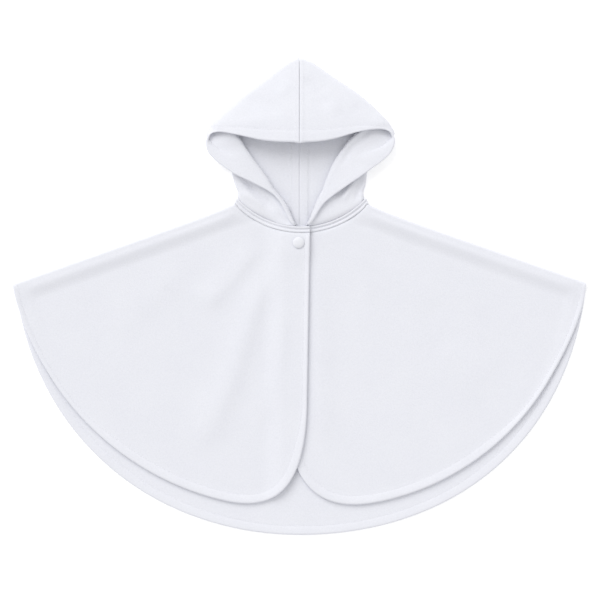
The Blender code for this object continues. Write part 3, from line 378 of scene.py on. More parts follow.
# Hood creases: troughs and ridges on the side that shows. x is counted outwards.
# "crown" is the top, "flap" the turned-back lip, and "lower" the outside under the lip.
#    side, part, path, width, height
HOOD_CREASES = (
    ("left", "crown", ((6.0, 243.0), (18.0, 224.0), (34.0, 202.0)), 6.0, -1.3),
    ("left", "crown", ((22.0, 226.0), (46.0, 196.0)), 8.0, 0.7),
    ("left", "crown", ((56.0, 208.0), (84.0, 192.0)), 8.0, -0.7),
    ("right", "crown", ((62.0, 216.0), (38.0, 207.0), (14.0, 202.0)), 9.0, -1.0),
    ("right", "crown", ((8.0, 236.0), (24.0, 214.0)), 6.0, 0.6),
    ("right", "crown", ((30.0, 192.0), (84.0, 187.0)), 6.0, 0.5),
    ("left", "flap", ((86.0, 188.0), (74.5, 178.4), (64.6, 169.0), (56.0, 161.3), (50.8, 153.0),
                      (47.0, 138.0)), 3.4, -2.0),
    ("left", "flap", ((88.0, 166.0), (66.0, 143.0)), 7.0, 0.8),
    ("right", "flap", ((92.0, 168.0), (70.0, 146.0), (46.0, 130.0)), 6.0, 0.5),
    ("right", "lower", ((66.0, 129.0), (46.0, 113.0), (22.0, 92.0)), 4.2, -3.0),
    ("right", "lower", ((66.0, 116.0), (52.0, 106.0), (36.0, 95.0)), 4.5, 1.2),
    ("right", "lower", ((34.0, 108.0), (9.0, 82.0)), 3.6, 1.2),
    ("left", "lower", ((57.0, 130.0), (37.0, 107.0)), 4.0, -2.0),
    ("left", "lower", ((61.0, 131.0), (46.0, 101.0)), 3.4, 1.8),
    ("left", "lower", ((69.0, 129.0), (60.0, 102.0)), 3.0, -1.8),
    ("left", "lower", ((64.0, 114.0), (70.0, 100.0)), 1.6, 0.6),
    ("left", "lower", ((67.5, 114.0), (73.0, 102.0)), 1.4, 0.6),
)
CREASE_SWAY = (2.2, 5.1, 2.5)   # waves along a crease, step from crease to crease, and seed
CREASE_UNEVEN, CREASE_DRIFT = 0.3, 0.4  # shares by which the sway changes its height and moves it
CREASE_FADE = 0.3               # share of its path over which a crease fades at each end

# Unevenness of hand-laid fleece
WAVE_LENGTH = 34.0
WAVE_HEIGHT = 0.16
DIMPLE_LENGTH = 9.0
DIMPLE_HEIGHT = 0.045
UNEVEN_SEEDS = {"back_top": 1.0, "right": 2.0, "left": 3.0, "back_under": 4.0, "hood": 5.0}
DIMPLE_SEED = 7.0
BACK_UNEVEN = {"top": 0.6, "under": 0.5}        # share of the unevenness on each side of the back
BACK_FLAT = 0.05                # the back's underside lies on the floor where it rises less than this
HOOD_UNEVEN = 0.8               # share of the unevenness on the hood


# Small helpers

def smooth(value):
    """Eases a value from 0 to 1."""
    value = min(max(value, 0.0), 1.0)
    return value * value * (3.0 - 2.0 * value)


def past(value, start, reach):
    """Share of the way past a start, eased over a reach."""
    return smooth((value - start) / reach)


def bell(value, half_width):
    return math.exp(-(value / half_width) ** 2)


def mix(first, second, share):
    """Point or number part of the way from the first to the second."""
    if isinstance(first, (int, float)):
        return first + (second - first) * share
    return tuple(a + (b - a) * share for a, b in zip(first, second))


def shares(count):
    return [index / count for index in range(count + 1)]


def hermite(start, end, start_slope, end_slope, t):
    return (
        (2 * t ** 3 - 3 * t ** 2 + 1) * start
        + (t ** 3 - 2 * t ** 2 + t) * start_slope
        + (3 * t ** 2 - 2 * t ** 3) * end
        + (t ** 3 - t ** 2) * end_slope
    )


def guide(rows, share):
    """Values of a table at a share, on a smooth curve through its rows."""
    keys = [row[0] for row in rows]
    share = min(max(share, keys[0]), keys[-1])
    index = min(max(bisect.bisect_right(keys, share) - 1, 0), len(rows) - 2)
    here, after = rows[index], rows[index + 1]
    before = rows[max(index - 1, 0)]
    beyond = rows[min(index + 2, len(rows) - 1)]
    length = after[0] - here[0]
    t = (share - here[0]) / length
    values = []
    for column in range(1, len(here)):
        start_slope = (after[column] - before[column]) / (after[0] - before[0])
        end_slope = (beyond[column] - here[column]) / (beyond[0] - here[0])
        values.append(hermite(here[column], after[column], start_slope * length, end_slope * length, t))
    return values


def bezier(start, start_handle, end_handle, end, t):
    s = 1.0 - t
    return tuple(
        s ** 3 * a + 3 * s * s * t * b + 3 * s * t * t * c + t ** 3 * d
        for a, b, c, d in zip(start, start_handle, end_handle, end)
    )


def path_lengths(points):
    lengths = [0.0]
    for a, b in zip(points, points[1:]):
        lengths.append(lengths[-1] + math.dist(a, b))
    return lengths


def at_lengths(points, lengths, targets):
    """Points of a polyline at given lengths along it."""
    result = []
    for target in targets:
        index = min(max(bisect.bisect_right(lengths, target) - 1, 0), len(points) - 2)
        step = lengths[index + 1] - lengths[index]
        result.append(mix(points[index], points[index + 1], (target - lengths[index]) / step))
    return result


def resample(points, places):
    """Points at given shares of a polyline's length."""
    lengths = path_lengths(points)
    return at_lengths(points, lengths, [place * lengths[-1] for place in places])


def distance_to_path(point, path):
    """Distance in plan from a point to a polyline."""
    best = math.inf
    px, py = point[0], point[1]
    for (ax, ay), (bx, by) in zip(path, path[1:]):
        dx, dy = bx - ax, by - ay
        t = ((px - ax) * dx + (py - ay) * dy) / (dx * dx + dy * dy)
        t = min(max(t, 0.0), 1.0)
        best = min(best, (px - ax - t * dx) ** 2 + (py - ay - t * dy) ** 2)
    return math.sqrt(best)


def unevenness(x, y, seed):
    """Slight rise and fall of fleece that a hand has laid flat, never below zero."""
    wave = noise.noise(Vector((x / WAVE_LENGTH, y / WAVE_LENGTH, seed)))
    dimple = noise.noise(Vector((x / DIMPLE_LENGTH, y / DIMPLE_LENGTH, seed + DIMPLE_SEED)))
    return max(WAVE_HEIGHT * (0.5 + wave) + DIMPLE_HEIGHT * dimple, 0.0)


# Outlines in plan

def sign_of(side):
    return -1.0 if side == "right" else 1.0


def neck_point(angle, radius):
    """Point on the neck arc; the angle is 0 at the middle and grows to the wearer's left."""
    return (
        NECK_CENTRE[0] + radius * math.sin(angle),
        NECK_CENTRE[1] - radius * math.cos(angle),
    )


def neck_angle(x, radius):
    return math.asin((x - NECK_CENTRE[0]) / radius)


def neck_y(x, radius):
    return neck_point(neck_angle(x, radius), radius)[1]


def shoulder_y(side, x):
    """Height in plan of the shoulder fold at x."""
    shoulder = SHOULDERS[side]
    reach = abs(x)
    line = shoulder["tip"][1] + shoulder["slope"] * (abs(shoulder["tip"][0]) - reach)
    return line + shoulder["rise"] * math.exp((shoulder["neck_x"] - reach) / RISE_LENGTH)


def shoulder_normal(side, x):
    """Unit vector in plan, pointing out of the shoulder fold."""
    slope = shoulder_y(side, x + 0.5) - shoulder_y(side, x - 0.5)
    length = math.hypot(slope, 1.0)
    return (-slope / length, 1.0 / length)


def inset_shoulder_y(side, x, inset):
    return shoulder_y(side, x) - inset / shoulder_normal(side, x)[1]


def shoulder_neck_angle(side, inset=0.0):
    """Angle on the cape's neck arc where the shoulder fold, moved in by an inset, meets it."""
    low, high = SHOULDER_ANGLES
    for _ in range(HALVINGS):
        middle = (low + high) / 2
        x, y = neck_point(sign_of(side) * middle, CAPE_NECK_RADIUS)
        if y > inset_shoulder_y(side, x, inset):
            high = middle
        else:
            low = middle
    return sign_of(side) * (low + high) / 2


def shoulder_line(side, inset, count=SHOULDER_STEPS):
    """The shoulder fold from neck to tip, moved in by an inset."""
    start = neck_point(shoulder_neck_angle(side, inset), CAPE_NECK_RADIUS)[0]
    end = SHOULDERS[side]["tip"][0]
    end -= shoulder_normal(side, end)[0] * inset
    xs = [mix(start, end, share) for share in shares(count)]
    return [(x, inset_shoulder_y(side, x, inset)) for x in xs]


def back_hem_point(angle):
    """Point on the back hem; the angle is 0 at the lowest point and grows to the wearer's left."""
    side = "left" if angle > 0 else "right"
    radius = BACK_HEM["radius"] + BACK_HEM["bulge"][side] * math.sin(2 * angle) ** 2
    return (
        BACK_HEM["centre"][0] + radius * math.sin(angle),
        BACK_HEM["centre"][1] - radius * math.cos(angle),
    )


def front_border(side):
    """The front's free border: hem from the tip, round the corner, and up the front edge."""
    sign = sign_of(side)
    hem = FRONT_HEMS[side]
    centre_x, centre_y = hem["centre"]
    radius = hem["radius"]
    start = math.acos((centre_y - SHOULDERS[side]["tip"][1]) / radius)
    stop = math.asin(abs(sign * hem["arc_end"] - centre_x) / radius)
    points = []
    tip_shift = SHOULDERS[side]["tip"][0] - centre_x - sign * radius * math.sin(start)
    for share in shares(BORDER_STEPS["hem"]):
        angle = mix(start, stop, share)
        shift = tip_shift * (1.0 - smooth(share / TIP_EASE))
        x = centre_x + sign * radius * math.sin(angle) + shift
        points.append((x, centre_y - radius * math.cos(angle)))
    arc_end = points[-1]
    along = (-sign * math.cos(stop), -math.sin(stop))
    along_handle = tuple(a + CORNER_HANDLES[0] * d for a, d in zip(arc_end, along))
    edge_start = (hem["edge_low"], CORNER_TOP)
    edge_handle = (hem["edge_low"], CORNER_TOP - CORNER_HANDLES[1])
    for share in shares(BORDER_STEPS["corner"])[1:]:
        points.append(bezier(arc_end, along_handle, edge_handle, edge_start, share))
    corner_middle = len(points) - BORDER_STEPS["corner"] // 2
    edge_end = neck_point(neck_angle(hem["edge_top"], CAPE_NECK_RADIUS), CAPE_NECK_RADIUS)
    for share in shares(BORDER_STEPS["edge"])[1:]:
        points.append(mix(edge_start, edge_end, share))
    return points, corner_middle


def border_width(y):
    """Width of a front's turned border: narrow up the front edge, wide along the bottom."""
    top, bottom = EDGE_TO_HEM
    return mix(EDGE_WIDTH, HEM_WIDTH, smooth((y - top) / (bottom - top)))


# Heights of the layers

BACK_HEM_PATH = [back_hem_point(math.radians(angle)) for angle in BACK_HEM_DEGREES]


def nearest_on_path(point, path):
    """Signed distance from a path, positive on its left, and the share of the path passed."""
    lengths = path_lengths(path)
    best, signed, along = math.inf, 0.0, 0.0
    px, py = point
    for number, ((ax, ay), (bx, by)) in enumerate(zip(path, path[1:])):
        dx, dy = bx - ax, by - ay
        size = math.hypot(dx, dy)
        t = min(max(((px - ax) * dx + (py - ay) * dy) / size ** 2, 0.0), 1.0)
        gap_x, gap_y = px - ax - t * dx, py - ay - t * dy
        distance = math.hypot(gap_x, gap_y)
        if distance < best:
            best = distance
            signed = math.copysign(distance, dx * gap_y - dy * gap_x)
            along = (lengths[number] + t * size) / lengths[-1]
    return signed, along


def sway_along(along, index, sway):
    """Slow change along the path of a fold or crease."""
    waves, step, seed = sway
    return noise.noise(Vector((along * waves, index * step, seed)))


def end_fade(along, share):
    """Fades a fold or crease out at both ends of its path."""
    return smooth(along / share) * smooth((1.0 - along) / share)


def fold_height(side, x, y):
    """Sum of the soft folds of a panel, each a little uneven along its length."""
    total = 0.0
    for index, (fold_side, path, left_width, right_width, height) in enumerate(SOFT_FOLDS):
        if fold_side != side:
            continue
        across, along = nearest_on_path((x, y), path)
        if along in (0.0, 1.0):
            continue
        sway = sway_along(along, index, FOLD_SWAY)
        # Seen on the way down a path, the viewer's right is the path's left.
        width = (left_width if across < 0 else right_width) * mix(FOLD_NARROW, FOLD_WIDE, along)
        crest = height * (1.0 + FOLD_UNEVEN * sway) * end_fade(along, FOLD_FADE)
        total += crest * bell(across + sway * FOLD_DRIFT, width)
    return total


def overlap_share(x):
    """1 where the right front lies on the left one, easing to 0 beside it."""
    return 1.0 - smooth((FRONT_HEMS["left"]["edge_low"] - x) / OVERLAP_EASE)


def front_floor(side, x, y):
    """Underside of a front where it lies flat, bridging the back's turned hem."""
    from_hem = distance_to_path((x, y), BACK_HEM_PATH)
    floor = CLOTH + CLEAR + HEM_RISE * (1.0 - smooth((from_hem - HEM_WIDTH) / HEM_BRIDGE))
    if side == "right":
        lower_top = CLOTH + CLEAR + CLOTH + HEM_RISE + CLEAR
        floor = mix(floor, max(floor, lower_top), overlap_share(x))
    return floor


def snap_lift(x, y):
    """How far the snap's hidden parts lift the upper front at a place."""
    stack = CLOTH + CLEAR + CLOTH + GAP + 2 * SNAP_PART_HEIGHT + 2 * GAP
    most = stack - (CLOTH + CLEAR + CLOTH + HEM_RISE + CLEAR)
    from_snap = math.dist((x, y), SNAP_PLACE)
    return most * (1.0 - smooth((from_snap - SNAP_DIAMETER / 2) / SNAP_LIFT_REACH))


def front_underside(side, x, y, from_shoulder):
    """Underside of a front: on the back, up to the roll, over folds, and up at the snap."""
    floor = front_floor(side, x, y)
    roll_top = 2 * ROLL_RADIUS - CLOTH
    from_neck = math.dist((x, y), NECK_CENTRE) - CAPE_NECK_RADIUS
    from_tip = abs(SHOULDERS[side]["tip"][0]) - abs(x)
    ridge = smooth(from_neck / RIDGE_GROWTH) * smooth((from_tip - RIDGE_FROM_TIP) / RIDGE_GROWTH)
    start = mix(ROLL_RADIUS, RIDGE_START, ridge)
    near_roll = 1.0 - smooth((from_shoulder - start) / mix(ROLL_SETTLE, RIDGE_FALL, ridge))
    height = mix(floor, max(roll_top, floor), near_roll)
    swell = bell(from_shoulder - RIDGE_START, RIDGE_WIDTH)
    swell *= smooth((from_shoulder - ROLL_RADIUS) / RIDGE_WIDTH)
    height += RIDGE_RISE[side] * ridge * swell
    height += fold_height(side, x, y) * (1.0 - near_roll)
    if side == "right":
        height += snap_lift(x, y)
    return height


def neck_mid(side, x, side_x):
    """Middle of the front layer along the neck seam."""
    level = CLOTH + CLEAR + CLOTH / 2
    if side == "right":
        level = mix(level, level + CLOTH + HEM_RISE + CLEAR, overlap_share(x))
        level += snap_lift(x, neck_y(x, CAPE_NECK_RADIUS))
    roll_mid = 2 * ROLL_RADIUS - CLOTH / 2
    near_roll = 1.0 - smooth((side_x - abs(x) - ROLL_RADIUS) / ROLL_SETTLE)
    return mix(level, roll_mid, near_roll)


def hem_section(place, rise):
    """Rise of the top across a turned hem; place is a share of its width."""
    puff = rise * (1.0 - smooth((place - PUFF_START) / PUFF_FALL))
    groove = STITCH_GROOVE * bell((place - HEM_STITCH) * HEM_WIDTH, GROOVE_HALF_WIDTH)
    return puff - groove


def rim_share(distance):
    """Share of the thickness that is left near a rounded rim."""
    if distance >= RIM_ROUND:
        return 1.0
    return max(math.sqrt(max(1.0 - (1.0 - distance / RIM_ROUND) ** 2, 0.0)), RIM_LEFT)


# Mesh makers

def link(item):
    bpy.context.scene.collection.objects.link(item)
    return item


def closed_object(name, points, faces, finish):
    """Smooth object of closed faces over points in millimetres, turned to look outwards."""
    mesh = bpy.data.meshes.new(name)
    mesh.from_pydata([Vector(point) * MM for point in points], [], faces)
    shape = bmesh.new()
    shape.from_mesh(mesh)
    bmesh.ops.remove_doubles(shape, verts=shape.verts, dist=MERGE * MM)
    bmesh.ops.recalc_face_normals(shape, faces=shape.faces)
    shape.to_mesh(mesh)
    shape.free()
    mesh.shade_smooth()
    mesh.materials.append(finish)
    return link(bpy.data.objects.new(name, mesh))


def ring_faces(rings, count, start=0):
    """Four-sided faces from each ring of points to the next one."""
    faces = []
    for here in range(start, start + (rings - 1) * count, count):
        for corner in range(count):
            after = (corner + 1) % count
            faces.append([here + corner, here + after, here + count + after, here + count + corner])
    return faces


class Sheet:
    """Two layers of points under growing grids that share their borders."""

    def __init__(self):
        self.outer = []
        self.inner = []
        self.quads = []
        self.index = {}

    def add(self, outer, inner):
        """Number of a point pair, the same one for the same place."""
        key = tuple(round(value, 3) for value in outer + inner)
        if key not in self.index:
            self.index[key] = len(self.outer)
            self.outer.append(outer)
            self.inner.append(inner)
        return self.index[key]

    def grid(self, rows):
        """Adds a grid of (outer, inner) pairs."""
        numbers = [[self.add(*pair) for pair in row] for row in rows]
        for here, after in zip(numbers, numbers[1:]):
            for column in range(len(here) - 1):
                quad = [here[column], here[column + 1], after[column + 1], after[column]]
                corners = list(dict.fromkeys(quad))
                if len(corners) > 2:
                    self.quads.append(corners)

    def wall(self, name, finish):
        """Closed wall of cloth: both layers with the same faces, joined round every border."""
        count = len(self.outer)
        sides = dict.fromkeys(side for quad in self.quads for side in zip(quad, quad[1:] + quad[:1]))
        faces = [list(quad) for quad in self.quads]
        faces += [[index + count for index in reversed(quad)] for quad in self.quads]
        faces += [[b, a, a + count, b + count] for a, b in sides if (b, a) not in sides]
        return closed_object(name, self.outer + self.inner, faces, finish)


def coons(near, far, first, last, column_shares, row_shares):
    """Grid in plan between four border curves, whose points sit at the given shares."""
    grid = []
    for row, v in enumerate(row_shares):
        line = []
        for column, u in enumerate(column_shares):
            point = []
            for axis in (0, 1):
                ruled_v = mix(near[column][axis], far[column][axis], v)
                ruled_u = mix(first[row][axis], last[row][axis], u)
                near_u = mix(near[0][axis], near[-1][axis], u)
                far_u = mix(far[0][axis], far[-1][axis], u)
                point.append(ruled_v + ruled_u - mix(near_u, far_u, v))
            line.append(tuple(point))
        grid.append(line)
    return grid


def length_shares(points):
    lengths = path_lengths(points)
    return [length / lengths[-1] for length in lengths]


def border_strip(stations, inside, widths, start_line, end_line):
    """Points in plan beside a free border: a row for each station, a column for each hem place.

    The rows stand square to the border, and its first and last rows follow the given lines.
    """
    lengths = path_lengths(stations)
    rows = []
    for index, here in enumerate(stations):
        before = stations[max(index - 1, 0)]
        after = stations[min(index + 1, len(stations) - 1)]
        dx, dy = after[0] - before[0], after[1] - before[1]
        size = math.hypot(dx, dy)
        normal = (-dy / size, dx / size)
        if (inside[0] - here[0]) * normal[0] + (inside[1] - here[1]) * normal[1] < 0:
            normal = (-normal[0], -normal[1])
        at_start = 1.0 - smooth(lengths[index] / STRIP_BLEND)
        at_end = 1.0 - smooth((lengths[-1] - lengths[index]) / STRIP_BLEND)
        row = []
        for place in HEM_PLACES:
            distance = place * widths[index]
            point = (here[0] + normal[0] * distance, here[1] + normal[1] * distance)
            for line, weight in ((start_line, at_start), (end_line, at_end)):
                if weight > 0.0:
                    origin, moved = line(0.0), line(distance)
                    along = (here[0] + moved[0] - origin[0], here[1] + moved[1] - origin[1])
                    point = mix(point, along, weight)
            row.append(point)
        rows.append(row)
    return rows


# Back panel

def tip_angle(line):
    """Angle on the back hem of the end of a shoulder line."""
    x, y = line[-1]
    return math.atan2(x - BACK_HEM["centre"][0], BACK_HEM["centre"][1] - y)


def follower(line):
    """Function that gives the point at a distance along a line."""
    lengths = path_lengths(line)
    return lambda distance: at_lengths(line, lengths, [distance])[0]


def shortened(line, reach, row_shares):
    """Points at the given shares of a line that stops short of its end."""
    lengths = path_lengths(line)
    return at_lengths(line, lengths, [share * (lengths[-1] - reach) for share in row_shares])


def back_grid():
    """Hem strip and inner grid of the back panel in plan."""
    settings = bpy.context.scene.cape_cloth
    right, left = (shoulder_line(side, ROLL_TUCK + CLEAR) for side in ("right", "left"))
    start, stop = tip_angle(right), tip_angle(left)
    stations = [back_hem_point(mix(start, stop, share)) for share in shares(settings.back_columns)]
    widths = [HEM_WIDTH] * len(stations)
    strip = border_strip(stations, (0.0, 0.0), widths, follower(right[::-1]), follower(left[::-1]))
    far = [row[-1] for row in strip]
    reach = HEM_WIDTH * HEM_PLACES[-1]
    row_shares = shares(settings.back_rows)
    first = shortened(right, reach, row_shares)
    last = shortened(left, reach, row_shares)
    neck_start = neck_angle(first[0][0], CAPE_NECK_RADIUS)
    neck_stop = neck_angle(last[0][0], CAPE_NECK_RADIUS)
    column_shares = length_shares(far)
    near = [neck_point(mix(neck_start, neck_stop, share), CAPE_NECK_RADIUS) for share in column_shares]
    near[0], near[-1] = first[0], last[0]
    first[-1], last[-1] = far[0], far[-1]
    return strip, coons(near, far, first, last, column_shares, row_shares)


def drawn_in(top, bottom, middle, distance):
    """Heights of a wall's two sides where they are drawn together to a rounded rim."""
    share = rim_share(distance)
    return mix(middle, top, share), mix(middle, bottom, share)


def back_pair(x, y, place):
    """Outer and inner point of the back panel; place is None away from the hem."""
    lift = unevenness(x, y, UNEVEN_SEEDS["back_top"]) * BACK_UNEVEN["top"]
    top = CLOTH + lift + max(fold_height("back", x, y), 0.0)
    bottom = unevenness(x, y, UNEVEN_SEEDS["back_under"]) * BACK_UNEVEN["under"] - BACK_FLAT
    bottom = max(bottom, 0.0)
    if place is not None:
        top += hem_section(place, HEM_RISE)
        top, bottom = drawn_in(top, bottom, RIM_LEVEL * (top + bottom), place * HEM_WIDTH)
    return (x, y, top), (x, y, bottom)


def make_back(finish):
    strip, inner = back_grid()
    sheet = Sheet()
    strip_pairs = [
        [back_pair(x, y, place) for (x, y), place in zip(row, HEM_PLACES)]
        for row in strip
    ]
    inner_pairs = [[back_pair(x, y, None) for x, y in row] for row in inner[:-1]]
    inner_pairs.append([row[-1] for row in strip_pairs])
    sheet.grid(inner_pairs)
    sheet.grid([list(column) for column in zip(*strip_pairs)][::-1])
    stitches = [row[STITCH_PLACE][0] for row in strip_pairs]
    return sheet.wall("back_cloth", finish), stitches


# Fronts

def front_grid(side):
    """Hem strip, inner grid and shoulder stations of a front in plan."""
    sign = sign_of(side)
    settings = bpy.context.scene.cape_cloth
    border, corner = front_border(side)
    border = border[::-1]
    corner = len(border) - 1 - corner
    shoulder = shoulder_line(side, ROLL_RADIUS)
    tip = shoulder[-1]
    lengths = path_lengths(border)
    shift = (tip[0] - border[-1][0], tip[1] - border[-1][1])
    eased = []
    for point, length in zip(border, lengths):
        weight = 1.0 - smooth((lengths[-1] - length) / STRIP_BLEND)
        eased.append((point[0] + shift[0] * weight, point[1] + shift[1] * weight))
    edge = resample(eased[:corner + 1], shares(settings.front_rows))
    hem = resample(eased[corner:], shares(settings.front_columns))
    stations = edge + hem[1:]
    angle = neck_angle(FRONT_HEMS[side]["edge_top"], CAPE_NECK_RADIUS)

    def along_neck(distance):
        return neck_point(angle + sign * distance / CAPE_NECK_RADIUS, CAPE_NECK_RADIUS)

    widths = [border_width(y) for _, y in stations]
    inside = (sign * FRONT_INSIDE[0], FRONT_INSIDE[1])
    strip = border_strip(stations, inside, widths, along_neck, follower(shoulder[::-1]))
    first = [row[-1] for row in strip[:len(edge)]]
    far = [row[-1] for row in strip[len(edge) - 1:]]
    row_shares = length_shares(first)
    column_shares = length_shares(far)
    neck_start = angle + sign * widths[0] * HEM_PLACES[-1] / CAPE_NECK_RADIUS
    neck_stop = neck_angle(shoulder[0][0], CAPE_NECK_RADIUS)
    near = [neck_point(mix(neck_start, neck_stop, share), CAPE_NECK_RADIUS) for share in column_shares]
    last = shortened(shoulder, widths[-1] * HEM_PLACES[-1], row_shares)
    near[0], near[-1] = first[0], last[0]
    last[-1] = far[-1]
    inner = coons(near, far, first, last, column_shares, row_shares)
    return strip, widths, inner, len(edge)


def front_pair(side, x, y, silhouette, place, width):
    """Outer and inner point of a front; place is None away from its turned border."""
    from_shoulder = distance_to_path((x, y), silhouette)
    from_neck = math.dist((x, y), NECK_CENTRE) - CAPE_NECK_RADIUS
    quiet = smooth(from_neck / NECK_QUIET)
    settle = smooth((from_shoulder - ROLL_TUCK) / ROLL_SETTLE) * quiet
    bottom = front_underside(side, x, y, from_shoulder)
    bottom += unevenness(x, y, UNEVEN_SEEDS[side]) * settle
    top = bottom + CLOTH - NECK_DIP * (1.0 - smooth(from_neck / NECK_DIP_WIDTH))
    if side == "right":
        from_cap = math.dist((x, y), SNAP_PLACE) - SNAP_DIAMETER / 2
        top -= SNAP_DIP * (1.0 - smooth((from_cap - SNAP_DIP_RING) / SNAP_DIP_WIDTH))
    if place is not None:
        covered = 1.0 - smooth((x - FRONT_HEMS["right"]["edge_top"]) / OVERLAP_EASE)
        rise = mix(FRONT_HEM_RISE, HEM_RISE, covered if side == "left" else 0.0)
        top += hem_section(place, rise) * mix(HEM_AT_SHOULDER, 1.0, settle) * quiet
        top, bottom = drawn_in(top, bottom, mix(bottom, top, RIM_LEVEL), place * width)
    return (x, y, top), (x, y, bottom)


def roll_pairs(side, start, thickness_share):
    """Pairs round the rolled shoulder, from its top to its flat underside.

    The start lies on the roll's top, square in from the fold by the roll's radius.
    """
    x, y = start[:2]
    out_x, out_y = shoulder_normal(side, x)
    half = CLOTH / 2 * thickness_share
    middle = ROLL_RADIUS - CLOTH / 2
    pairs = []
    for step in range(1, ROLL_STEPS + 1):
        angle = math.pi / 2 - math.pi * step / ROLL_STEPS
        pair = []
        for radius in (middle + half, middle - half):
            reach = radius * math.cos(angle)
            height = ROLL_RADIUS + radius * math.sin(angle)
            pair.append((x + out_x * reach, y + out_y * reach, height))
        pairs.append(tuple(pair))
    tuck = ROLL_TUCK - ROLL_RADIUS
    end = (x - out_x * tuck, y - out_y * tuck)
    level = CLOTH / 2
    pairs.append(((*end, level - half), (*end, level + half)))
    return pairs


def make_front(side, finish):
    strip, widths, inner, edge_count = front_grid(side)
    silhouette = shoulder_line(side, 0.0, SILHOUETTE_STEPS)
    strip_pairs = [
        [front_pair(side, x, y, silhouette, place, width) for (x, y), place in zip(row, HEM_PLACES)]
        for row, width in zip(strip, widths)
    ]
    inner_pairs = [[front_pair(side, x, y, silhouette, None, 0.0) for x, y in row] for row in inner]
    for row in range(edge_count):
        inner_pairs[row][0] = strip_pairs[row][-1]
    inner_pairs[-1] = [row[-1] for row in strip_pairs[edge_count - 1:]]
    sheet = Sheet()
    sheet.grid(inner_pairs)
    sheet.grid([list(column) for column in zip(*strip_pairs)][::-1])
    shoulder_pairs = [row[-1] for row in inner_pairs] + strip_pairs[-1][::-1][1:]
    rims = [1.0] * len(inner_pairs) + [rim_share(place * widths[-1]) for place in HEM_PLACES[::-1][1:]]
    sheet.grid([
        [pair] + roll_pairs(side, pair[0], rim)
        for pair, rim in zip(shoulder_pairs, rims)
    ])
    stitches = [row[STITCH_PLACE][0] for row in strip_pairs]
    return sheet.wall("front_" + side + "_cloth", finish), stitches


# Hood

def fold_points(place, centre_height, radius, arriving, leaving):
    """Top, outermost and bottom points of a fold, for the plan directions on its two sides."""
    top = (place[0] - arriving[0] * radius, place[1] - arriving[1] * radius, centre_height + radius)
    side = (place[0], place[1], centre_height)
    bottom = (place[0] - leaving[0] * radius, place[1] - leaving[1] * radius, centre_height - radius)
    return [top, side, bottom]


def plan_direction(start, end):
    dx, dy = end[0] - start[0], end[1] - start[1]
    length = math.hypot(dx, dy)
    return (dx / length, dy / length)


def between(start, end, fractions):
    return [mix(start, end, fraction) for fraction in fractions]


def blended(flat, folded, strength):
    return [mix(a, b, strength) for a, b in zip(flat, folded)]


def hood_controls(side, share):
    """Control points of one section of a hood half, from the face edge to the centre back seam."""
    edge = tuple(guide(FACE_EDGE[side], share))
    crown_x, crown_y, crown_radius, crown_base, crown_strength = guide(CROWN_FOLD[side], share)
    roll_x, roll_y, roll_radius, roll_strength = guide(FACE_ROLL[side], share)
    side_x, side_y, side_radius, side_strength = guide(SIDE_FOLD[side], share)
    seam = (SEAM_HALF_GAP, guide(BACK_SEAM, share)[0], BACK_MID)
    crown_strength, roll_strength, side_strength = (
        min(max(strength, 0.0), 1.0) for strength in (crown_strength, roll_strength, side_strength)
    )

    crown_place = (crown_x, crown_y)
    crown_out = plan_direction(edge, crown_place) if crown_strength > 0 else (1.0, 0.0)
    crown_folded = fold_points(crown_place, crown_base + crown_radius, crown_radius, crown_out, crown_out)
    crown_bottom = (*crown_folded[2][:2], crown_base)
    side_place, roll_place = (side_x, side_y), (roll_x, roll_y)
    side_in, side_out = plan_direction(roll_place, side_place), plan_direction(seam, side_place)
    side_folded = fold_points(side_place, BACK_MID + side_radius, side_radius, side_in, side_out)
    side_fold = blended(between(crown_bottom, seam, SIDE_FLAT), side_folded, side_strength)

    roll_in = plan_direction(side_place, roll_place)
    roll_height = side_fold[0][2] + ROLL_STEP + roll_radius
    roll_folded = fold_points(roll_place, roll_height, roll_radius, roll_in, roll_in)
    before = mix(edge, crown_bottom, crown_strength)
    flat_shares = mix(ROLL_FLAT_AT_NECK, ROLL_FLAT_IN_CROWN, crown_strength)
    roll_flat = between(before, side_fold[0], flat_shares)
    standing = [mix(side_fold[0][2], edge[2], share) for share in ROLL_STAND_AT_NECK]
    roll_flat = [(x, y, mix(up, z, crown_strength)) for (x, y, z), up in zip(roll_flat, standing)]
    roll = blended(roll_flat, roll_folded, roll_strength)

    crown = blended(between(edge, roll[0], CROWN_FLAT), crown_folded, crown_strength)
    reach = math.dist(edge[:2], crown[0][:2])
    dome = CROWN_DOME * crown_strength * smooth((reach - DOME_START) / DOME_GROWTH)
    x, y, z = mix(edge, crown[0], DOME_PLACE)
    inside = mix(crown[2], roll[0], 0.5)
    under = mix(roll[2], side_fold[0], 0.5)
    floor = mix(side_fold[2], seam, 0.5)
    return [edge, (x, y, z + dome)] + crown + [inside] + roll + [under] + side_fold + [floor, seam]


def curve_through(points, steps):
    """Points on a smooth curve through the control points."""
    result = []
    for index in range(len(points) - 1):
        here, after = points[index], points[index + 1]
        before = points[max(index - 1, 0)]
        beyond = points[min(index + 2, len(points) - 1)]
        chord = math.dist(here, after)
        start_scale = chord / (chord + max(math.dist(before, here), TINY))
        end_scale = chord / (chord + max(math.dist(after, beyond), TINY))
        for step in range(steps):
            result.append(tuple(
                hermite(a, b, (b - last) * start_scale, (following - a) * end_scale, step / steps)
                for last, a, b, following in zip(before, here, after, beyond)
            ))
    result.append(tuple(points[-1]))
    return result


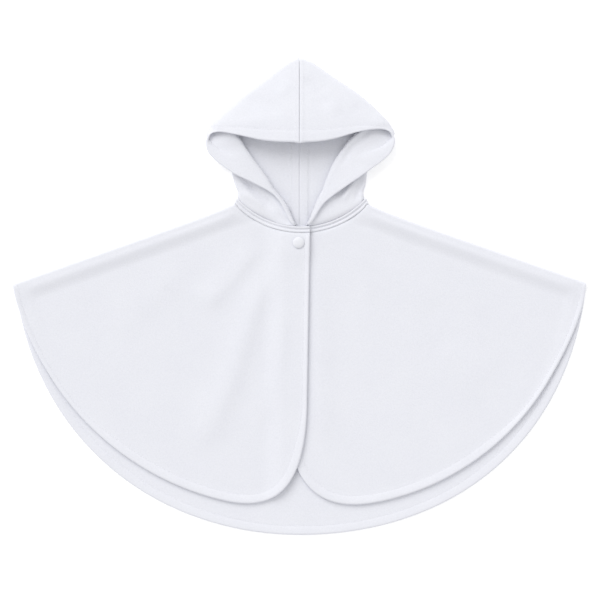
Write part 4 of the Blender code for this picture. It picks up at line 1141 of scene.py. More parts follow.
def hood_section(side, share):
    """Middle points of one section; near the neck it is drawn to the arc and height of the band."""
    section = curve_through(hood_controls(side, share), SPAN_STEPS)
    section = [(x, y, max(z, BACK_MID)) for x, y, z in section]
    arc_pull = 1.0 - smooth(share / NECK_PULL)
    level_pull = 1.0 - smooth(share / NECK_LEVEL_PULL)
    if arc_pull <= 0.0:
        return section
    rise = guide(BACK_SEAM, share)[0] - BACK_SEAM[0][1]
    front_columns = SPAN_STEPS * SIDE_TOP_CONTROL
    side_x = SIDE_FOLD[side][0][1]
    result = []
    for column, (x, y, z) in enumerate(section):
        arc_y = neck_y(sign_of(side) * x, HOOD_NECK_RADIUS)
        y = mix(y, arc_y + rise * (1.0 - arc_pull), arc_pull)
        if column <= front_columns:
            z = mix(z, neck_mid(side, sign_of(side) * x, side_x), level_pull)
        result.append((x, y, z))
    return result


def spaced_section(section):
    """The section's points at the face hem's places, then denser at bends, then at the seam's places.

    Also gives each point's distance from the face edge and from the seam.
    """
    lengths = path_lengths(section)
    total = lengths[-1]
    start, stop = FACE_HEM_PLACES[-1], total - SEAM_PLACES[0]
    weights = [0.0]
    for index in range(1, len(section)):
        step = lengths[index] - lengths[index - 1]
        bend = 0.0
        if index < len(section) - 1 and step > TINY:
            first = Vector(section[index]) - Vector(section[index - 1])
            second = Vector(section[index + 1]) - Vector(section[index])
            if first.length > TINY and second.length > TINY:
                bend = first.angle(second)
        weights.append(weights[-1] + step + BEND_CROWDING * bend)
    low = at_lengths([(w,) for w in weights], lengths, [start])[0][0]
    high = at_lengths([(w,) for w in weights], lengths, [stop])[0][0]
    targets = [mix(low, high, share) for share in shares(HOOD_COLUMNS)][1:-1]
    middle = [value[0] for value in at_lengths([(value,) for value in lengths], weights, targets)]
    distances = list(FACE_HEM_PLACES) + middle + [total - place for place in SEAM_PLACES]
    points = at_lengths(section, lengths, distances)
    return points, distances, [total - distance for distance in distances]


def hood_row_shares():
    values = []
    for start, stop, count in HOOD_ROW_COUNTS:
        values += [mix(start, stop, share) for share in shares(count)[:-1]]
    return values + list(HOOD_LAST_ROWS)


def sheet_normal(grid, row, column):
    """Unit normal of a grid of points."""
    before, after = grid[row][max(column - 1, 0)], grid[row][min(column + 1, len(grid[row]) - 1)]
    below, above = grid[max(row - 1, 0)][column], grid[min(row + 1, len(grid) - 1)][column]
    normal = (Vector(after) - Vector(before)).cross(Vector(above) - Vector(below))
    return normal.normalized()


def face_hem_rises(distance):
    """Puff of the face hem outside and inside, with the grooves of their stitch lines."""
    if distance > FACE_HEM_PLACES[-1]:
        return 0.0, 0.0
    before, fall = FACE_HEM_FALL
    wedge = FACE_HEM_LEVEL + (1.0 - FACE_HEM_LEVEL) * (1.0 - distance / FACE_HEM_PLACES[-1])
    outside = FACE_HEM_RISE * wedge * (1.0 - smooth((distance - FACE_STITCH + before) / fall))
    outside -= BRIM_GROOVE * STITCH_GROOVE * bell(distance - FACE_STITCH, GROOVE_HALF_WIDTH)
    inside = LIP_RISE * (1.0 - smooth((distance - LIP_STITCH) / LIP_FALL))
    inside -= LIP_GROOVE * STITCH_GROOVE * bell(distance - LIP_STITCH, GROOVE_HALF_WIDTH)
    return outside, inside


def seam_rise(distance, seam):
    """Raised allowance beside a seam, its stitch groove, and the valley of the seam itself."""
    before, fall = SEAM_EDGE
    rise = seam["rise"] * (1.0 - smooth((distance - seam["half"] + before) / fall))
    groove = bell(distance - seam["stitch"], GROOVE_HALF_WIDTH * SEAM_GROOVE_WIDTH)
    valley = seam["valley"] * bell(distance, VALLEY_HALF_WIDTH)
    return rise - SEAM_GROOVE * STITCH_GROOVE * groove - valley


def crease_height(side, part, x, y):
    """Sum of the creases of one part of a hood half."""
    total = 0.0
    for index, (crease_side, crease_part, path, width, height) in enumerate(HOOD_CREASES):
        if (crease_side, crease_part) != (side, part):
            continue
        across, along = nearest_on_path((x, y), path)
        if along in (0.0, 1.0):
            continue
        sway = sway_along(along, index, CREASE_SWAY)
        crest = height * (1.0 + CREASE_UNEVEN * sway) * end_fade(along, CREASE_FADE)
        total += crest * bell(across + sway * width * CREASE_DRIFT, width)
    return total


def facing(z):
    """1 where a side looks the way that is asked for, 0 where it stands or looks away."""
    return smooth(z * FACING[0] - FACING[1])


def hood_rises(side, share, here, normal, from_edge, from_seam):
    """How far the outer and the inner side of the hood stand off from plain cloth at a point."""
    x, y = abs(here.x), here.y
    near_neck = smooth(share / NECK_EASE)
    in_corner = 1.0 - CORNER_FLATTENING * bell(share - CORNER_ROWS[0], CORNER_ROWS[1])
    outer, inner = (rise * near_neck * in_corner for rise in face_hem_rises(from_edge))
    on_crown = past(share, *CROWN_ROWS) * facing(normal.z)
    if on_crown > 0.0:
        seam = seam_rise(x, CROWN_SEAM) * past(share, *CROWN_SEAM_ROWS)
        crease = crease_height(side, "crown", x, y) * smooth(from_edge / CREASE_FROM_EDGE)
        outer += on_crown * (seam + crease)
        inner -= on_crown * crease
    on_lower = smooth((LOWER_ROWS[0] - share) / LOWER_ROWS[1]) * facing(normal.z)
    if on_lower > 0.0:
        crease = crease_height(side, "lower", x, y) * on_lower * near_neck
        outer += crease
        inner -= crease
    on_flap = past(here.z, *FLAP_HEIGHT) * facing(-normal.z)
    if on_flap > 0.0:
        crease = crease_height(side, "flap", x, y) * on_flap
        inner += crease
        outer -= crease
    if normal.z < LOOKS_DOWN and from_seam < SEAM_PLACES[0]:
        inner += seam_rise(from_seam, INNER_SEAM) * smooth((INNER_SEAM_END[0] - y) / INNER_SEAM_END[1])
    uneven = unevenness(here.x, y, UNEVEN_SEEDS["hood"]) * HOOD_UNEVEN * near_neck
    if normal.z > LOOKS_UP:
        outer += uneven
    else:
        inner += uneven
    if normal.z > 0.0:
        from_neck = max(HOOD_NECK_RADIUS - math.dist((here.x, here.y), NECK_CENTRE), 0.0)
        outer -= NECK_DIP * (1.0 - smooth(from_neck / NECK_DIP_WIDTH))
    return outer, inner


def hold_inside_neck(point, radius):
    """Moves a point in to the circle of the neck seam where it lies outside."""
    reach = Vector((point.x - NECK_CENTRE[0], point.y - NECK_CENTRE[1]))
    if reach.length > radius:
        reach *= radius / reach.length
        point.x, point.y = NECK_CENTRE[0] + reach.x, NECK_CENTRE[1] + reach.y


def hood_pairs(side):
    """Rows of outer and inner points of a hood half, and the share of each row."""
    sign = sign_of(side)
    row_shares = hood_row_shares()
    middle, from_edge, from_seam = [], [], []
    for share in row_shares:
        points, distances, backwards = spaced_section(hood_section(side, share))
        middle.append([(sign * x, y, z) for x, y, z in points])
        from_edge.append(distances)
        from_seam.append(backwards)
    pairs = []
    for row, share in enumerate(row_shares):
        line = []
        for column, place in enumerate(middle[row]):
            here = Vector(place)
            edge_distance = from_edge[row][column]
            normal = sheet_normal(middle, row, column) * sign
            if share == 1.0 or column == len(middle[row]) - 1:
                normal.x = 0.0
                normal.normalize()
            if here.z < BACK_MID + FLAT_BELOW:
                normal = Vector((0.0, 0.0, -1.0))
            outer_rise, inner_rise = hood_rises(
                side, share, here, normal, edge_distance, from_seam[row][column])
            thickness = rim_share(edge_distance)
            outer = here + normal * ((CLOTH / 2 + outer_rise) * thickness)
            inner = here - normal * ((CLOTH / 2 + inner_rise) * thickness)
            bump = BRIM_BUMP * bell(abs(here.x), BUMP_HALF_WIDTH)
            bump *= 1.0 - smooth(edge_distance / BUMP_LENGTH)
            for point in (outer, inner):
                if share > BUMP_ROWS:
                    point.y -= bump
                point.z = max(point.z, 0.0)
                if row == 0:
                    point.y = neck_y(point.x, HOOD_NECK_RADIUS)
                elif share < NECK_ROWS:
                    hold_inside_neck(point, HOOD_NECK_RADIUS - NECK_ROW_STEP * row)
            line.append((tuple(outer), tuple(inner)))
        pairs.append(line)
    return pairs, row_shares


def make_hood(side, finish):
    """One half of the hood, and the paths of its stitch lines."""
    pairs, row_shares = hood_pairs(side)
    sheet = Sheet()
    sheet.grid(pairs)
    hood = sheet.wall("hood_" + side + "_cloth", finish)
    brim, lip = FACE_HEM_PLACES.index(FACE_STITCH), FACE_HEM_PLACES.index(LIP_STITCH)
    floor = SEAM_PLACES.index(INNER_SEAM["stitch"]) - len(SEAM_PLACES)
    rows = list(zip(pairs, row_shares))
    paths = [
        [line[brim][0] for line, share in rows[:-1] if share > BRIM_STITCH_START],
        [line[lip][1] for line, share in rows if LIP_STITCH_ROWS[0] < share < LIP_STITCH_ROWS[1]],
        crossing_path(pairs, CROWN_SEAM["stitch"]),
        [line[floor][1] for line in pairs[INNER_STITCH_START:] if line[floor][1][1] < INNER_STITCH_END],
    ]
    return hood, paths


def crossing_path(pairs, distance):
    """Path on the crown at a distance from the middle plane, from the brim to near the apex."""
    path = []
    for column in range(len(pairs[0])):
        for row in range(len(pairs) - 1, 0, -1):
            near, far = pairs[row][column][0], pairs[row - 1][column][0]
            if abs(near[0]) <= distance < abs(far[0]):
                share = (distance - abs(near[0])) / (abs(far[0]) - abs(near[0]))
                path.append(mix(near, far, share))
                break
        if path and path[-1][1] > CROWN_STITCH_END:
            break
    return path


# Neck band

def band_stations():
    """Places along the band, from the lower end round the back to the upper end.

    Each holds the middle point, the direction across the band, the direction that its
    outer face looks in, and how far its ridges stand up.
    """
    ends = {side: shoulder_neck_angle(side) * BAND_TURN for side in ("right", "left")}
    back_level = BAND_THICK / 2
    radius = (2 * ROLL_RADIUS - CLOTH / 2 - back_level) / 2
    stations = []

    def lay(start, stop, count, level, up, ridge):
        for share in shares(count):
            angle = mix(start, stop, share)
            x, y = neck_point(angle, NECK_RADIUS)
            across = (math.sin(angle), -math.cos(angle), 0.0)
            stations.append(((x, y, level(x)), across, up, ridge))

    def turn(side, upwards):
        angle = ends[side]
        x, y = neck_point(angle, NECK_RADIUS)
        out = (sign_of(side) * math.cos(angle), sign_of(side) * math.sin(angle))
        across = (math.sin(angle), -math.cos(angle), 0.0)
        for step in range(1, BAND_TURN_STEPS):
            share = step / BAND_TURN_STEPS
            turned = math.pi * (1.0 - share if upwards else share)
            reach = radius * math.sin(turned)
            height = back_level + radius + radius * math.cos(turned)
            up = (out[0] * math.sin(turned), out[1] * math.sin(turned), math.cos(turned))
            ridge = BAND_RIDGE * (1.0 + math.cos(turned)) / 2
            stations.append(((x + out[0] * reach, y + out[1] * reach, height), across, up, ridge))

    def front_level(side):
        side_x = abs(neck_point(ends[side], NECK_RADIUS)[0]) + ROLL_RADIUS
        return lambda x: neck_mid(side, x, side_x)

    start = neck_angle(BAND_ENDS["left"], NECK_RADIUS)
    stop = neck_angle(BAND_ENDS["right"], NECK_RADIUS)
    over, under = (0.0, 0.0, 1.0), (0.0, 0.0, -1.0)
    lay(start, ends["left"], BAND_STATIONS["front"], front_level("left"), over, BAND_RIDGE)
    turn("left", False)
    lay(ends["left"], ends["right"], BAND_STATIONS["back"], lambda x: back_level, under, 0.0)
    turn("right", True)
    lay(ends["right"], stop, BAND_STATIONS["front"], front_level("right"), over, BAND_RIDGE)
    return stations


# Half of the band's section: distance from its middle and height, plain and with its cord
BAND_PROFILE = (
    ((0.0, -1.1), (0.0, -1.1)),
    ((1.5, -1.1), (1.5, -1.1)),
    ((2.6, -0.95), (2.6, -1.0)),
    ((3.0, -0.4), (2.95, -0.6)),
    ((3.0, 0.2), (3.0, 0.1)),
    ((3.0, 0.4), (3.0, 0.62)),
    ((3.0, 0.6), (3.3, 0.74)),
    ((2.9, 0.75), (3.5, 0.9)),
    ((2.8, 0.85), (3.45, 1.15)),
    ((2.6, 0.95), (3.2, 1.5)),
    ((2.3, 1.02), (2.85, 1.82)),
    ((2.0, 1.06), (2.4, 2.02)),
    ((1.6, 1.08), (1.85, 2.05)),
    ((1.2, 1.1), (1.35, 1.85)),
    ((0.8, 1.1), (0.9, 1.4)),
    ((0.4, 1.1), (0.45, 0.85)),
    ((0.0, 1.1), (0.0, 0.7)),
)
OUTER_CORD = 0.6                # share of its height over the flank that the cape's cord keeps
GROOVE_LEVEL = 0.75             # the stitches between the cords lie at this height over the middle
CORD_PINCH = 0.18               # share by which the height of the cords varies along the band
PINCH_NOISE = (0.35, 9.0)       # its pace from station to station, and its seed
TURN_NARROWING = 0.3            # share of its outer half that the band loses where it turns
TURN_REACH = (3.0, 2.5)         # it is narrow up to this far from the turn, and eases over this length
FLANK_LEVEL = 0.6               # the flank is straight up to this height
FLANK_EASE = (0.97, 0.03)       # share of the ridge's height from which a flank may stand out
FLANK_ROOM = 0.2                # how far it stands out over the gap beside it
INNER_ROOM = 0.1                # and how far the other one stands out over the hood's gap
STITCHES_SHOW = 0.95            # the stitches show where the band's outer face is this level


def band_section(ridge, pinch, outer_width):
    """Section of the band: flat below, with two round cords side by side on top."""
    share = ridge / BAND_RIDGE
    half_thick = BAND_THICK / 2
    half = [mix(plain, corded, share) for plain, corded in BAND_PROFILE]
    half = [(w, h if h <= half_thick else half_thick + (h - half_thick) * pinch) for w, h in half]
    # Where the band turns over the shoulder its flank stays straight.
    flank = BAND_WIDTH / 2 + (GAP + FLANK_ROOM) * past(share, *FLANK_EASE)
    outer = [
        (min(w, flank) * outer_width, min(h, FLANK_LEVEL + (h - FLANK_LEVEL) * OUTER_CORD))
        for w, h in half
    ]
    return outer + [(max(-w, -BAND_WIDTH / 2 - INNER_ROOM), h) for w, h in half[-2:0:-1]]


def make_band(finish):
    """The double-corded band over the neck seam, and the path of the stitches between its cords."""
    points, path = [], []
    stations = band_stations()
    reach = {sign: max(sign * place[0] for place, across, up, ridge in stations) for sign in (-1, 1)}
    for number, (place, across, up, ridge) in enumerate(stations):
        ripple = noise.noise(Vector((number * PINCH_NOISE[0], 0.0, PINCH_NOISE[1])))
        from_turn = min(reach[sign] - sign * place[0] for sign in reach)
        outer_width = 1.0 - TURN_NARROWING * smooth(1.0 - (from_turn - TURN_REACH[0]) / TURN_REACH[1])
        section = band_section(ridge, 1.0 + CORD_PINCH * ripple, outer_width)
        for w, h in section:
            x, y, z = (a + b * w + c * h for a, b, c in zip(place, across, up))
            points.append((x, y, max(z, 0.0)))
        if up[2] > STITCHES_SHOW:
            path.append(tuple(a + c * GROOVE_LEVEL for a, c in zip(place, up)))
        elif path and path[-1] is not None:
            path.append(None)
    count = len(section)
    faces = ring_faces(len(stations), count)
    faces.append(list(range(count))[::-1])
    faces.append(list(range(len(points) - count, len(points))))
    band = closed_object("neck_band_cloth", points, faces, finish)
    split = path.index(None)
    return band, [path[:split], [point for point in path[split:] if point is not None]]


# Press stud

# The cap's rim: distance in from its edge, and height
CAP_RIM = ((1.2, 0.0), (0.45, 0.02), (0.12, 0.16), (0.0, 0.45))
CAP_STEPS = 15                  # rings from the rim to the top
CAP_ROUNDNESS = 0.9             # below 1 the dome is fuller at its shoulder than a round one
CAP_RING = (0.78, 0.10, 0.28)   # share of the radius, depth and half width of the moulded ring


def make_cap(finish):
    """The snap's cap: a shallow dome with a rolled rim and a faint moulded ring."""
    low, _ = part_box("snap_cap")
    base = low[2] / MM
    radius = SNAP_DIAMETER / 2
    rim_height = CAP_RIM[-1][1]
    ring_share, ring_depth, ring_width = CAP_RING
    profile = [(radius - inset, height) for inset, height in CAP_RIM]
    for step in range(1, CAP_STEPS):
        angle = math.pi / 2 * step / CAP_STEPS
        height = rim_height + (SNAP_HEIGHT - rim_height) * math.sin(angle) ** CAP_ROUNDNESS
        reach = radius * math.cos(angle)
        profile.append((reach, height - ring_depth * bell(reach - radius * ring_share, ring_width)))
    x, y = SNAP_PLACE
    turns = [2 * math.pi * corner / SNAP_SIDES for corner in range(SNAP_SIDES)]
    points = [(x, y, base)]
    for reach, height in profile:
        for turn in turns:
            points.append((x + reach * math.cos(turn), y + reach * math.sin(turn), base + height))
    points.append((x, y, base + SNAP_HEIGHT))
    top = len(points) - 1
    faces = ring_faces(len(profile), SNAP_SIDES, 1)
    for corner in range(SNAP_SIDES):
        after = (corner + 1) % SNAP_SIDES
        faces.append([0, 1 + corner, 1 + after])
        faces.append([top - SNAP_SIDES + corner, top - SNAP_SIDES + after, top])
    return closed_object("snap_cap_dome", points, faces, finish)


# Materials

def linear(hex_colour):
    """Linear colour of an sRGB hex value."""
    values = []
    for start in (0, 2, 4):
        value = int(hex_colour.lstrip("#")[start:start + 2], 16) / 255
        values.append(value / 12.92 if value <= 0.04045 else ((value + 0.055) / 1.055) ** 2.4)
    return (*values, 1.0)


def add_node(tree, kind, settings=None, values=None, links=None):
    """A node with its settings, its input values, and its inputs linked to other nodes' outputs."""
    node = tree.nodes.new(kind)
    for key, value in (settings or {}).items():
        setattr(node, key, value)
    for key, value in (values or {}).items():
        node.inputs[key].default_value = value
    for key, source in (links or {}).items():
        tree.links.new(source, node.inputs[key])
    return node


def new_material(name):
    material = bpy.data.materials.new(name)
    material.use_nodes = True
    material.node_tree.nodes.clear()
    return material


def brushed_fleece(settings):
    """Brushed polyester micro-fleece: a short matted nap that scatters light and glows when seen aslant.

    The nap's tufts are under 1 mm in life. They are drawn at 1.6 mm, as fine as the picture can hold.
    """
    material = new_material("brushed_fleece")
    tree = material.node_tree
    place = add_node(tree, "ShaderNodeTexCoord").outputs["Object"]
    nap = add_node(tree, "ShaderNodeTexNoise",
                   values={"Scale": 1 / (1.6 * MM), "Detail": 3.0, "Roughness": 0.65},
                   links={"Vector": place})
    tufts = add_node(tree, "ShaderNodeTexNoise",
                     values={"Scale": 1 / (5.0 * MM), "Detail": 2.0, "Roughness": 0.5},
                     links={"Vector": place})
    cloudy = add_node(tree, "ShaderNodeTexNoise",
                      values={"Scale": 1 / (42.0 * MM), "Detail": 2.0, "Roughness": 0.5},
                      links={"Vector": place})
    tone = add_node(tree, "ShaderNodeMix", {"data_type": "RGBA"},
                    {6: linear(settings.shade_colour), 7: linear(settings.fleece_colour)},
                    {0: cloudy.outputs["Fac"]})
    fibres = add_node(tree, "ShaderNodeMapRange",
                      values={"From Min": 0.3, "From Max": 0.7, "To Min": 0.965, "To Max": 1.02},
                      links={"Value": nap.outputs["Fac"]})
    colour = add_node(tree, "ShaderNodeMix", {"data_type": "RGBA", "blend_type": "MULTIPLY"},
                      {0: 1.0}, {6: tone.outputs[2], 7: fibres.outputs["Result"]})
    height = add_node(tree, "ShaderNodeMath", {"operation": "MULTIPLY_ADD"}, {1: 0.45},
                      {0: tufts.outputs["Fac"], 2: nap.outputs["Fac"]})
    bump = add_node(tree, "ShaderNodeBump",
                    values={"Strength": settings.nap_strength, "Distance": 0.5 * MM},
                    links={"Height": height.outputs["Value"]})
    shader = add_node(tree, "ShaderNodeBsdfPrincipled",
                      values={"Roughness": 0.95, "IOR": 1.45, "Specular IOR Level": 0.15,
                              "Sheen Weight": 0.22, "Sheen Roughness": 0.55, "Sheen Tint": linear("#f4f5fa"),
                              "Subsurface Weight": 0.12, "Subsurface Radius": (1.0, 1.0, 1.0),
                              "Subsurface Scale": 1.2 * MM},
                      links={"Base Color": colour.outputs[2], "Normal": bump.outputs["Normal"]})
    add_node(tree, "ShaderNodeOutputMaterial", links={"Surface": shader.outputs["BSDF"]})
    return material


def sewing_thread(settings):
    """Spun polyester thread: twisted plies that give a finer, slightly brighter line than the fleece."""
    material = new_material("spun_polyester_thread")
    tree = material.node_tree
    place = add_node(tree, "ShaderNodeTexCoord").outputs["Object"]
    plies = add_node(tree, "ShaderNodeTexNoise",
                     values={"Scale": 1 / (0.4 * MM), "Detail": 1.0}, links={"Vector": place})
    colour = add_node(tree, "ShaderNodeMix", {"data_type": "RGBA"},
                      {6: linear(settings.shade_colour), 7: linear(settings.thread_colour)},
                      {0: plies.outputs["Fac"]})
    bump = add_node(tree, "ShaderNodeBump", values={"Strength": 0.4, "Distance": 0.1 * MM},
                    links={"Height": plies.outputs["Fac"]})
    shader = add_node(tree, "ShaderNodeBsdfPrincipled",
                      values={"Roughness": 0.6, "IOR": 1.5, "Sheen Weight": 0.1},
                      links={"Base Color": colour.outputs[2], "Normal": bump.outputs["Normal"]})
    add_node(tree, "ShaderNodeOutputMaterial", links={"Surface": shader.outputs["BSDF"]})
    return material


def moulded_acetal(settings):
    """Injection-moulded acetal snap: matte, a little waxy, with a fine spark-eroded grain."""
    material = new_material("moulded_acetal")
    tree = material.node_tree
    place = add_node(tree, "ShaderNodeTexCoord").outputs["Object"]
    grain = add_node(tree, "ShaderNodeTexNoise",
                     values={"Scale": 1 / (0.7 * MM), "Detail": 3.0, "Roughness": 0.6},
                     links={"Vector": place})
    rough = add_node(tree, "ShaderNodeMapRange", values={"To Min": 0.42, "To Max": 0.58},
                     links={"Value": grain.outputs["Fac"]})
    tone = add_node(tree, "ShaderNodeMix", {"data_type": "RGBA"},
                    {6: linear(settings.snap_colour), 7: linear(settings.fleece_colour)},
                    {0: grain.outputs["Fac"]})
    bump = add_node(tree, "ShaderNodeBump", values={"Strength": 0.12, "Distance": 0.1 * MM},
                    links={"Height": grain.outputs["Fac"]})
    shader = add_node(tree, "ShaderNodeBsdfPrincipled",
                      values={"IOR": 1.48, "Subsurface Weight": 0.15, "Subsurface Scale": 1.0 * MM,
                              "Subsurface Radius": (1.0, 1.0, 1.0)},
                      links={"Base Color": tone.outputs[2], "Roughness": rough.outputs["Result"],
                             "Normal": bump.outputs["Normal"]})
    add_node(tree, "ShaderNodeOutputMaterial", links={"Surface": shader.outputs["BSDF"]})
    return material


def studio_paper(settings):
    """Matte white background paper, faintly mottled, lit until it is almost clean white."""
    material = new_material("white_studio_paper")
    tree = material.node_tree
    place = add_node(tree, "ShaderNodeTexCoord").outputs["Object"]
    mottle = add_node(tree, "ShaderNodeTexNoise",
                      values={"Scale": 1 / (60.0 * MM), "Detail": 3.0}, links={"Vector": place})
    tone = add_node(tree, "ShaderNodeMix", {"data_type": "RGBA"},
                    {6: linear("#fbfbfb"), 7: linear(settings.paper_colour)},
                    {0: mottle.outputs["Fac"]})
    shader = add_node(tree, "ShaderNodeBsdfPrincipled",
                      values={"Roughness": 0.9, "Specular IOR Level": 0.1,
                              "Emission Color": linear(settings.paper_colour), "Emission Strength": 0.24},
                      links={"Base Color": tone.outputs[2]})
    add_node(tree, "ShaderNodeOutputMaterial", links={"Surface": shader.outputs["BSDF"]})
    return material


def shared_material(name, maker):
    """The material of that name, made when it is first asked for."""
    return bpy.data.materials.get(name) or maker(bpy.context.scene.cape_finish)


def fleece():
    return shared_material("brushed_fleece", brushed_fleece)


def thread():
    return shared_material("spun_polyester_thread", sewing_thread)


def acetal():
    return shared_material("moulded_acetal", moulded_acetal)


# Stitches

def stitch_tree(material, sizes):
    """Geometry nodes that lay one sunk stitch after another along every edge path of a mesh."""
    tree = bpy.data.node_groups.new("lockstitch_row", "GeometryNodeTree")
    tree.interface.new_socket("Geometry", in_out="INPUT", socket_type="NodeSocketGeometry")
    for name, value in sizes.items():
        socket = tree.interface.new_socket(name, in_out="INPUT", socket_type="NodeSocketFloat")
        socket.default_value = value
        socket.subtype = "DISTANCE"
    tree.interface.new_socket("Geometry", in_out="OUTPUT", socket_type="NodeSocketGeometry")
    inputs = add_node(tree, "NodeGroupInput")
    curve = add_node(tree, "GeometryNodeMeshToCurve", links={"Mesh": inputs.outputs["Geometry"]})
    spaced = add_node(tree, "GeometryNodeResampleCurve", {"mode": "LENGTH"},
                      links={"Curve": curve.outputs["Curve"], "Length": inputs.outputs["Pitch"]})
    tangent = add_node(tree, "GeometryNodeInputTangent")
    bead = add_node(tree, "GeometryNodeMeshUVSphere", values={"Segments": 6, "Rings": 4, "Radius": 0.5})
    face = add_node(tree, "FunctionNodeAlignRotationToVector", {"axis": "X"},
                    links={"Vector": tangent.outputs["Tangent"]})
    size = add_node(tree, "ShaderNodeCombineXYZ",
                    links={"X": inputs.outputs["Stitch Length"], "Y": inputs.outputs["Thread Width"],
                           "Z": inputs.outputs["Thread Width"]})
    laid = add_node(tree, "GeometryNodeInstanceOnPoints",
                    links={"Points": spaced.outputs["Curve"], "Instance": bead.outputs["Mesh"],
                           "Rotation": face.outputs["Rotation"], "Scale": size.outputs["Vector"]})
    real = add_node(tree, "GeometryNodeRealizeInstances", links={"Geometry": laid.outputs["Instances"]})
    soft = add_node(tree, "GeometryNodeSetShadeSmooth", links={"Geometry": real.outputs["Geometry"]})
    finished = add_node(tree, "GeometryNodeSetMaterial", {}, {"Material": material},
                        {"Geometry": soft.outputs["Geometry"]})
    add_node(tree, "NodeGroupOutput", links={"Geometry": finished.outputs["Geometry"]})
    return tree


def sew(name, paths):
    """Rows of stitches along paths, as one plain mesh."""
    settings = bpy.context.scene.cape_stitches
    points, edges = [], []
    for path in paths:
        start = len(points)
        points += [Vector(point) * MM + Vector((0.0, 0.0, settings.lift)) for point in path]
        edges += [(start + index, start + index + 1) for index in range(len(path) - 1)]
    mesh = bpy.data.meshes.new(name + "_path")
    mesh.from_pydata(points, edges, [])
    item = link(bpy.data.objects.new(name, mesh))
    sizes = {"Pitch": settings.pitch, "Stitch Length": settings.length, "Thread Width": settings.width}
    tree = bpy.data.node_groups.get("lockstitch_row") or stitch_tree(thread(), sizes)
    modifier = item.modifiers.new("stitches", "NODES")
    modifier.node_group = tree
    for socket in tree.interface.items_tree:
        if socket.in_out == "INPUT" and socket.name in sizes:
            modifier[socket.identifier] = sizes[socket.name]
    graph = bpy.context.evaluated_depsgraph_get()
    plain = bpy.data.meshes.new_from_object(item.evaluated_get(graph))
    item.modifiers.remove(modifier)
    item.data = plain
    plain.name = name
    return item


# Settings

class ClothSettings(bpy.types.PropertyGroup):
    """How finely the cloth is made."""

    front_rows: IntProperty(
        name="Front rows", description="Rows of a front from its neckline to its hem",
        default=96, min=20)
    front_columns: IntProperty(
        name="Front columns", description="Columns of a front from its edge to its shoulder",
        default=150, min=20)
    back_rows: IntProperty(
        name="Back rows", description="Rows of the back from its neckline to its hem",
        default=70, min=10)
    back_columns: IntProperty(
        name="Back columns", description="Columns of the back from shoulder to shoulder",
        default=300, min=20)


class FinishSettings(bpy.types.PropertyGroup):
    """Colours and nap of the cape, as sRGB hex values."""

    fleece_colour: StringProperty(
        name="Fleece", description="Colour of the fleece in the light", default="#e9eaf0")
    shade_colour: StringProperty(
        name="Fleece, deeper", description="Colour of the fleece where its nap lies flatter",
        default="#e5e6ed")
    thread_colour: StringProperty(
        name="Thread", description="Colour of the sewing thread", default="#f3f3f7")
    snap_colour: StringProperty(
        name="Snap", description="Colour of the moulded snap", default="#e6e7ec")
    paper_colour: StringProperty(
        name="Paper", description="Colour of the background paper", default="#ffffff")
    nap_strength: FloatProperty(
        name="Nap", description="Strength of the nap's relief", default=0.35, min=0.0, max=1.0)


class StitchSettings(bpy.types.PropertyGroup):
    """Size of the sewing."""

    pitch: FloatProperty(
        name="Pitch", description="Distance from one stitch to the next", default=0.0029,
        unit="LENGTH", precision=5)
    length: FloatProperty(
        name="Length", description="Length of a stitch that shows", default=0.0022,
        unit="LENGTH", precision=5)
    width: FloatProperty(
        name="Width", description="Width of the thread", default=0.00055,
        unit="LENGTH", precision=5)
    lift: FloatProperty(
        name="Lift", description="Height of the thread's middle over the groove", default=0.00005,
        unit="LENGTH", precision=5)


class StageSettings(bpy.types.PropertyGroup):
    """Camera, floor and light."""

    camera_height: FloatProperty(
        name="Camera height", description="Height of the camera over the floor", default=3.2, unit="LENGTH")
    view_width: FloatProperty(
        name="View width", description="Width of the picture at the cloth", default=0.654, unit="LENGTH")
    centre: FloatVectorProperty(
        name="View centre", description="Point of the floor in the middle of the picture", size=2,
        default=(0.00055, -0.00403), unit="LENGTH")
    key_strength: FloatProperty(
        name="Window light", description="Strength of the wide soft light from the upper left",
        default=1.42)
    key_spread: FloatProperty(
        name="Window spread", description="Angle over which the window light spreads",
        default=math.radians(38.0), subtype="ANGLE")
    fill_strength: FloatProperty(
        name="Room light", description="Strength of the even light from all round", default=0.77)


# Operators

# The stage's own lengths, in metres; the camera's sensor is in millimetres
FLOOR_HALF = 3.0
FLOOR_LEVEL = -0.0002           # just under the cloth, so that the two don't share a plane
SENSOR_WIDTH = 36.0
CLIP_END = 20.0
WINDOW_PLACE = (-0.9, 1.6, 1.5)


def fit_cloth(item, node, rows):
    """Hides the cloth piece's solid, and fastens the piece and its rows of stitches to the root body."""
    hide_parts(node)
    for piece in [item] + rows:
        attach(piece, "root")


class CAPE_OT_back(bpy.types.Operator):
    """Makes the back panel, with its turned and stitched hem"""

    bl_idname = "cape.back"
    bl_label = "Back panel"

    def execute(self, context):
        item, path = make_back(fleece())
        rows = [sew("back_stitches", [path])]
        fit_cloth(item, "back", rows)
        return {"FINISHED"}


class CAPE_OT_fronts(bpy.types.Operator):
    """Makes the two fronts, with rolled shoulders, soft folds and stitched borders"""

    bl_idname = "cape.fronts"
    bl_label = "Fronts"

    def execute(self, context):
        for side, under in (("left", ["back_cloth"]), ("right", ["back_cloth", "front_left_cloth"])):
            item, path = make_front(side, fleece())
            rows = [sew("front_" + side + "_stitches", [path])]
            fit_cloth(item, "front_" + side, rows)
        return {"FINISHED"}


class CAPE_OT_hood(bpy.types.Operator):
    """Makes the two halves of the hood, with the turned-back face edge and the topstitched seams"""

    bl_idname = "cape.hood"
    bl_label = "Hood"

    def execute(self, context):
        for side in ("left", "right"):
            item, paths = make_hood(side, fleece())
            rows = [sew("hood_" + side + "_stitches", paths)]
            fit_cloth(item, "hood_" + side, rows)
        return {"FINISHED"}


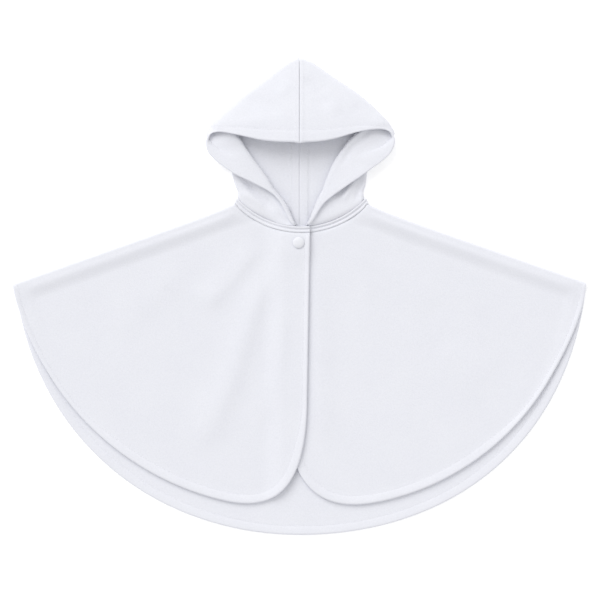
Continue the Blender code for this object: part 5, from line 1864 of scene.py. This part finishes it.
class CAPE_OT_band(bpy.types.Operator):
    """Makes the double-corded band over the neck seam"""

    bl_idname = "cape.band"
    bl_label = "Neck band"

    def execute(self, context):
        item, paths = make_band(fleece())
        rows = [sew("neck_band_stitches", paths)]
        fit_cloth(item, "neck_band", rows)
        return {"FINISHED"}


class CAPE_OT_snap(bpy.types.Operator):
    """Makes the snap's cap and finishes its hidden socket and stud"""

    bl_idname = "cape.snap"
    bl_label = "Snap"

    def execute(self, context):
        cap = make_cap(acetal())
        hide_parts("snap_cap")
        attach(cap, "root")
        for node in ("snap_socket", "snap_stud"):
            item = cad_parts[node]
            for place in item.material_slots:
                place.material = acetal()
        return {"FINISHED"}


class CAPE_OT_stage(bpy.types.Operator):
    """Lays the white paper floor, hangs the lights and sets the camera straight above"""

    bl_idname = "cape.stage"
    bl_label = "Floor, lights and camera"

    def execute(self, context):
        settings = context.scene.cape_stage
        scene = context.scene
        scene.view_settings.view_transform = "Standard"
        scene.view_settings.look = "None"
        centre = Vector((settings.centre[0], settings.centre[1], 0.0))

        floor_mesh = bpy.data.meshes.new("paper_floor")
        turns = ((-1, -1), (1, -1), (1, 1), (-1, 1))
        corners = [(x * FLOOR_HALF, y * FLOOR_HALF, FLOOR_LEVEL) for x, y in turns]
        floor_mesh.from_pydata(corners, [], [(0, 1, 2, 3)])
        floor_mesh.materials.append(studio_paper(scene.cape_finish))
        floor = link(bpy.data.objects.new("paper_floor", floor_mesh))

        camera_data = bpy.data.cameras.new("overhead_camera")
        camera_data.sensor_width = SENSOR_WIDTH
        camera_data.lens = SENSOR_WIDTH * settings.camera_height / settings.view_width
        camera_data.dof.use_dof = False
        camera_data.clip_end = CLIP_END
        camera = link(bpy.data.objects.new("overhead_camera", camera_data))
        camera.location = centre + Vector((0.0, 0.0, settings.camera_height))
        scene.camera = camera

        key_data = bpy.data.lights.new("window_light", "SUN")
        key_data.energy = settings.key_strength
        key_data.angle = settings.key_spread
        key = link(bpy.data.objects.new("window_light", key_data))
        key.location = Vector(WINDOW_PLACE)
        key.rotation_euler = (centre - key.location).to_track_quat("-Z", "Y").to_euler()

        world = bpy.data.worlds.new("room_light")
        world.use_nodes = True
        backdrop = world.node_tree.nodes["Background"]
        backdrop.inputs["Color"].default_value = linear("#ffffff")
        backdrop.inputs["Strength"].default_value = settings.fill_strength
        scene.world = world
        return {"FINISHED"}


class CAPE_PT_panel(bpy.types.Panel):
    """The cape's steps and settings in the sidebar"""

    bl_idname = "CAPE_PT_panel"
    bl_label = "Laid cape"
    bl_space_type = "VIEW_3D"
    bl_region_type = "UI"
    bl_category = "Cape"

    def draw(self, context):
        layout = self.layout
        for operator in OPERATORS:
            layout.operator(operator.bl_idname)
        for name, group in SETTINGS.items():
            box = layout.box()
            for field in group.__annotations__:
                box.prop(getattr(context.scene, name), field)


SETTINGS = {
    "cape_cloth": ClothSettings,
    "cape_finish": FinishSettings,
    "cape_stitches": StitchSettings,
    "cape_stage": StageSettings,
}
OPERATORS = (CAPE_OT_back, CAPE_OT_fronts, CAPE_OT_hood, CAPE_OT_band, CAPE_OT_snap, CAPE_OT_stage)


def register():
    for name, group in SETTINGS.items():
        bpy.utils.register_class(group)
        setattr(bpy.types.Scene, name, PointerProperty(type=group))
    for item in OPERATORS + (CAPE_PT_panel,):
        bpy.utils.register_class(item)


def unregister():
    for item in (CAPE_PT_panel,) + OPERATORS[::-1]:
        bpy.utils.unregister_class(item)
    for name, group in reversed(SETTINGS.items()):
        delattr(bpy.types.Scene, name)
        bpy.utils.unregister_class(group)


def main():
    register()
    bpy.ops.cape.back()
    bpy.ops.cape.fronts()
    bpy.ops.cape.hood()
    bpy.ops.cape.band()
    bpy.ops.cape.snap()
    bpy.ops.cape.stage()


if __name__ == "__main__":
    main()
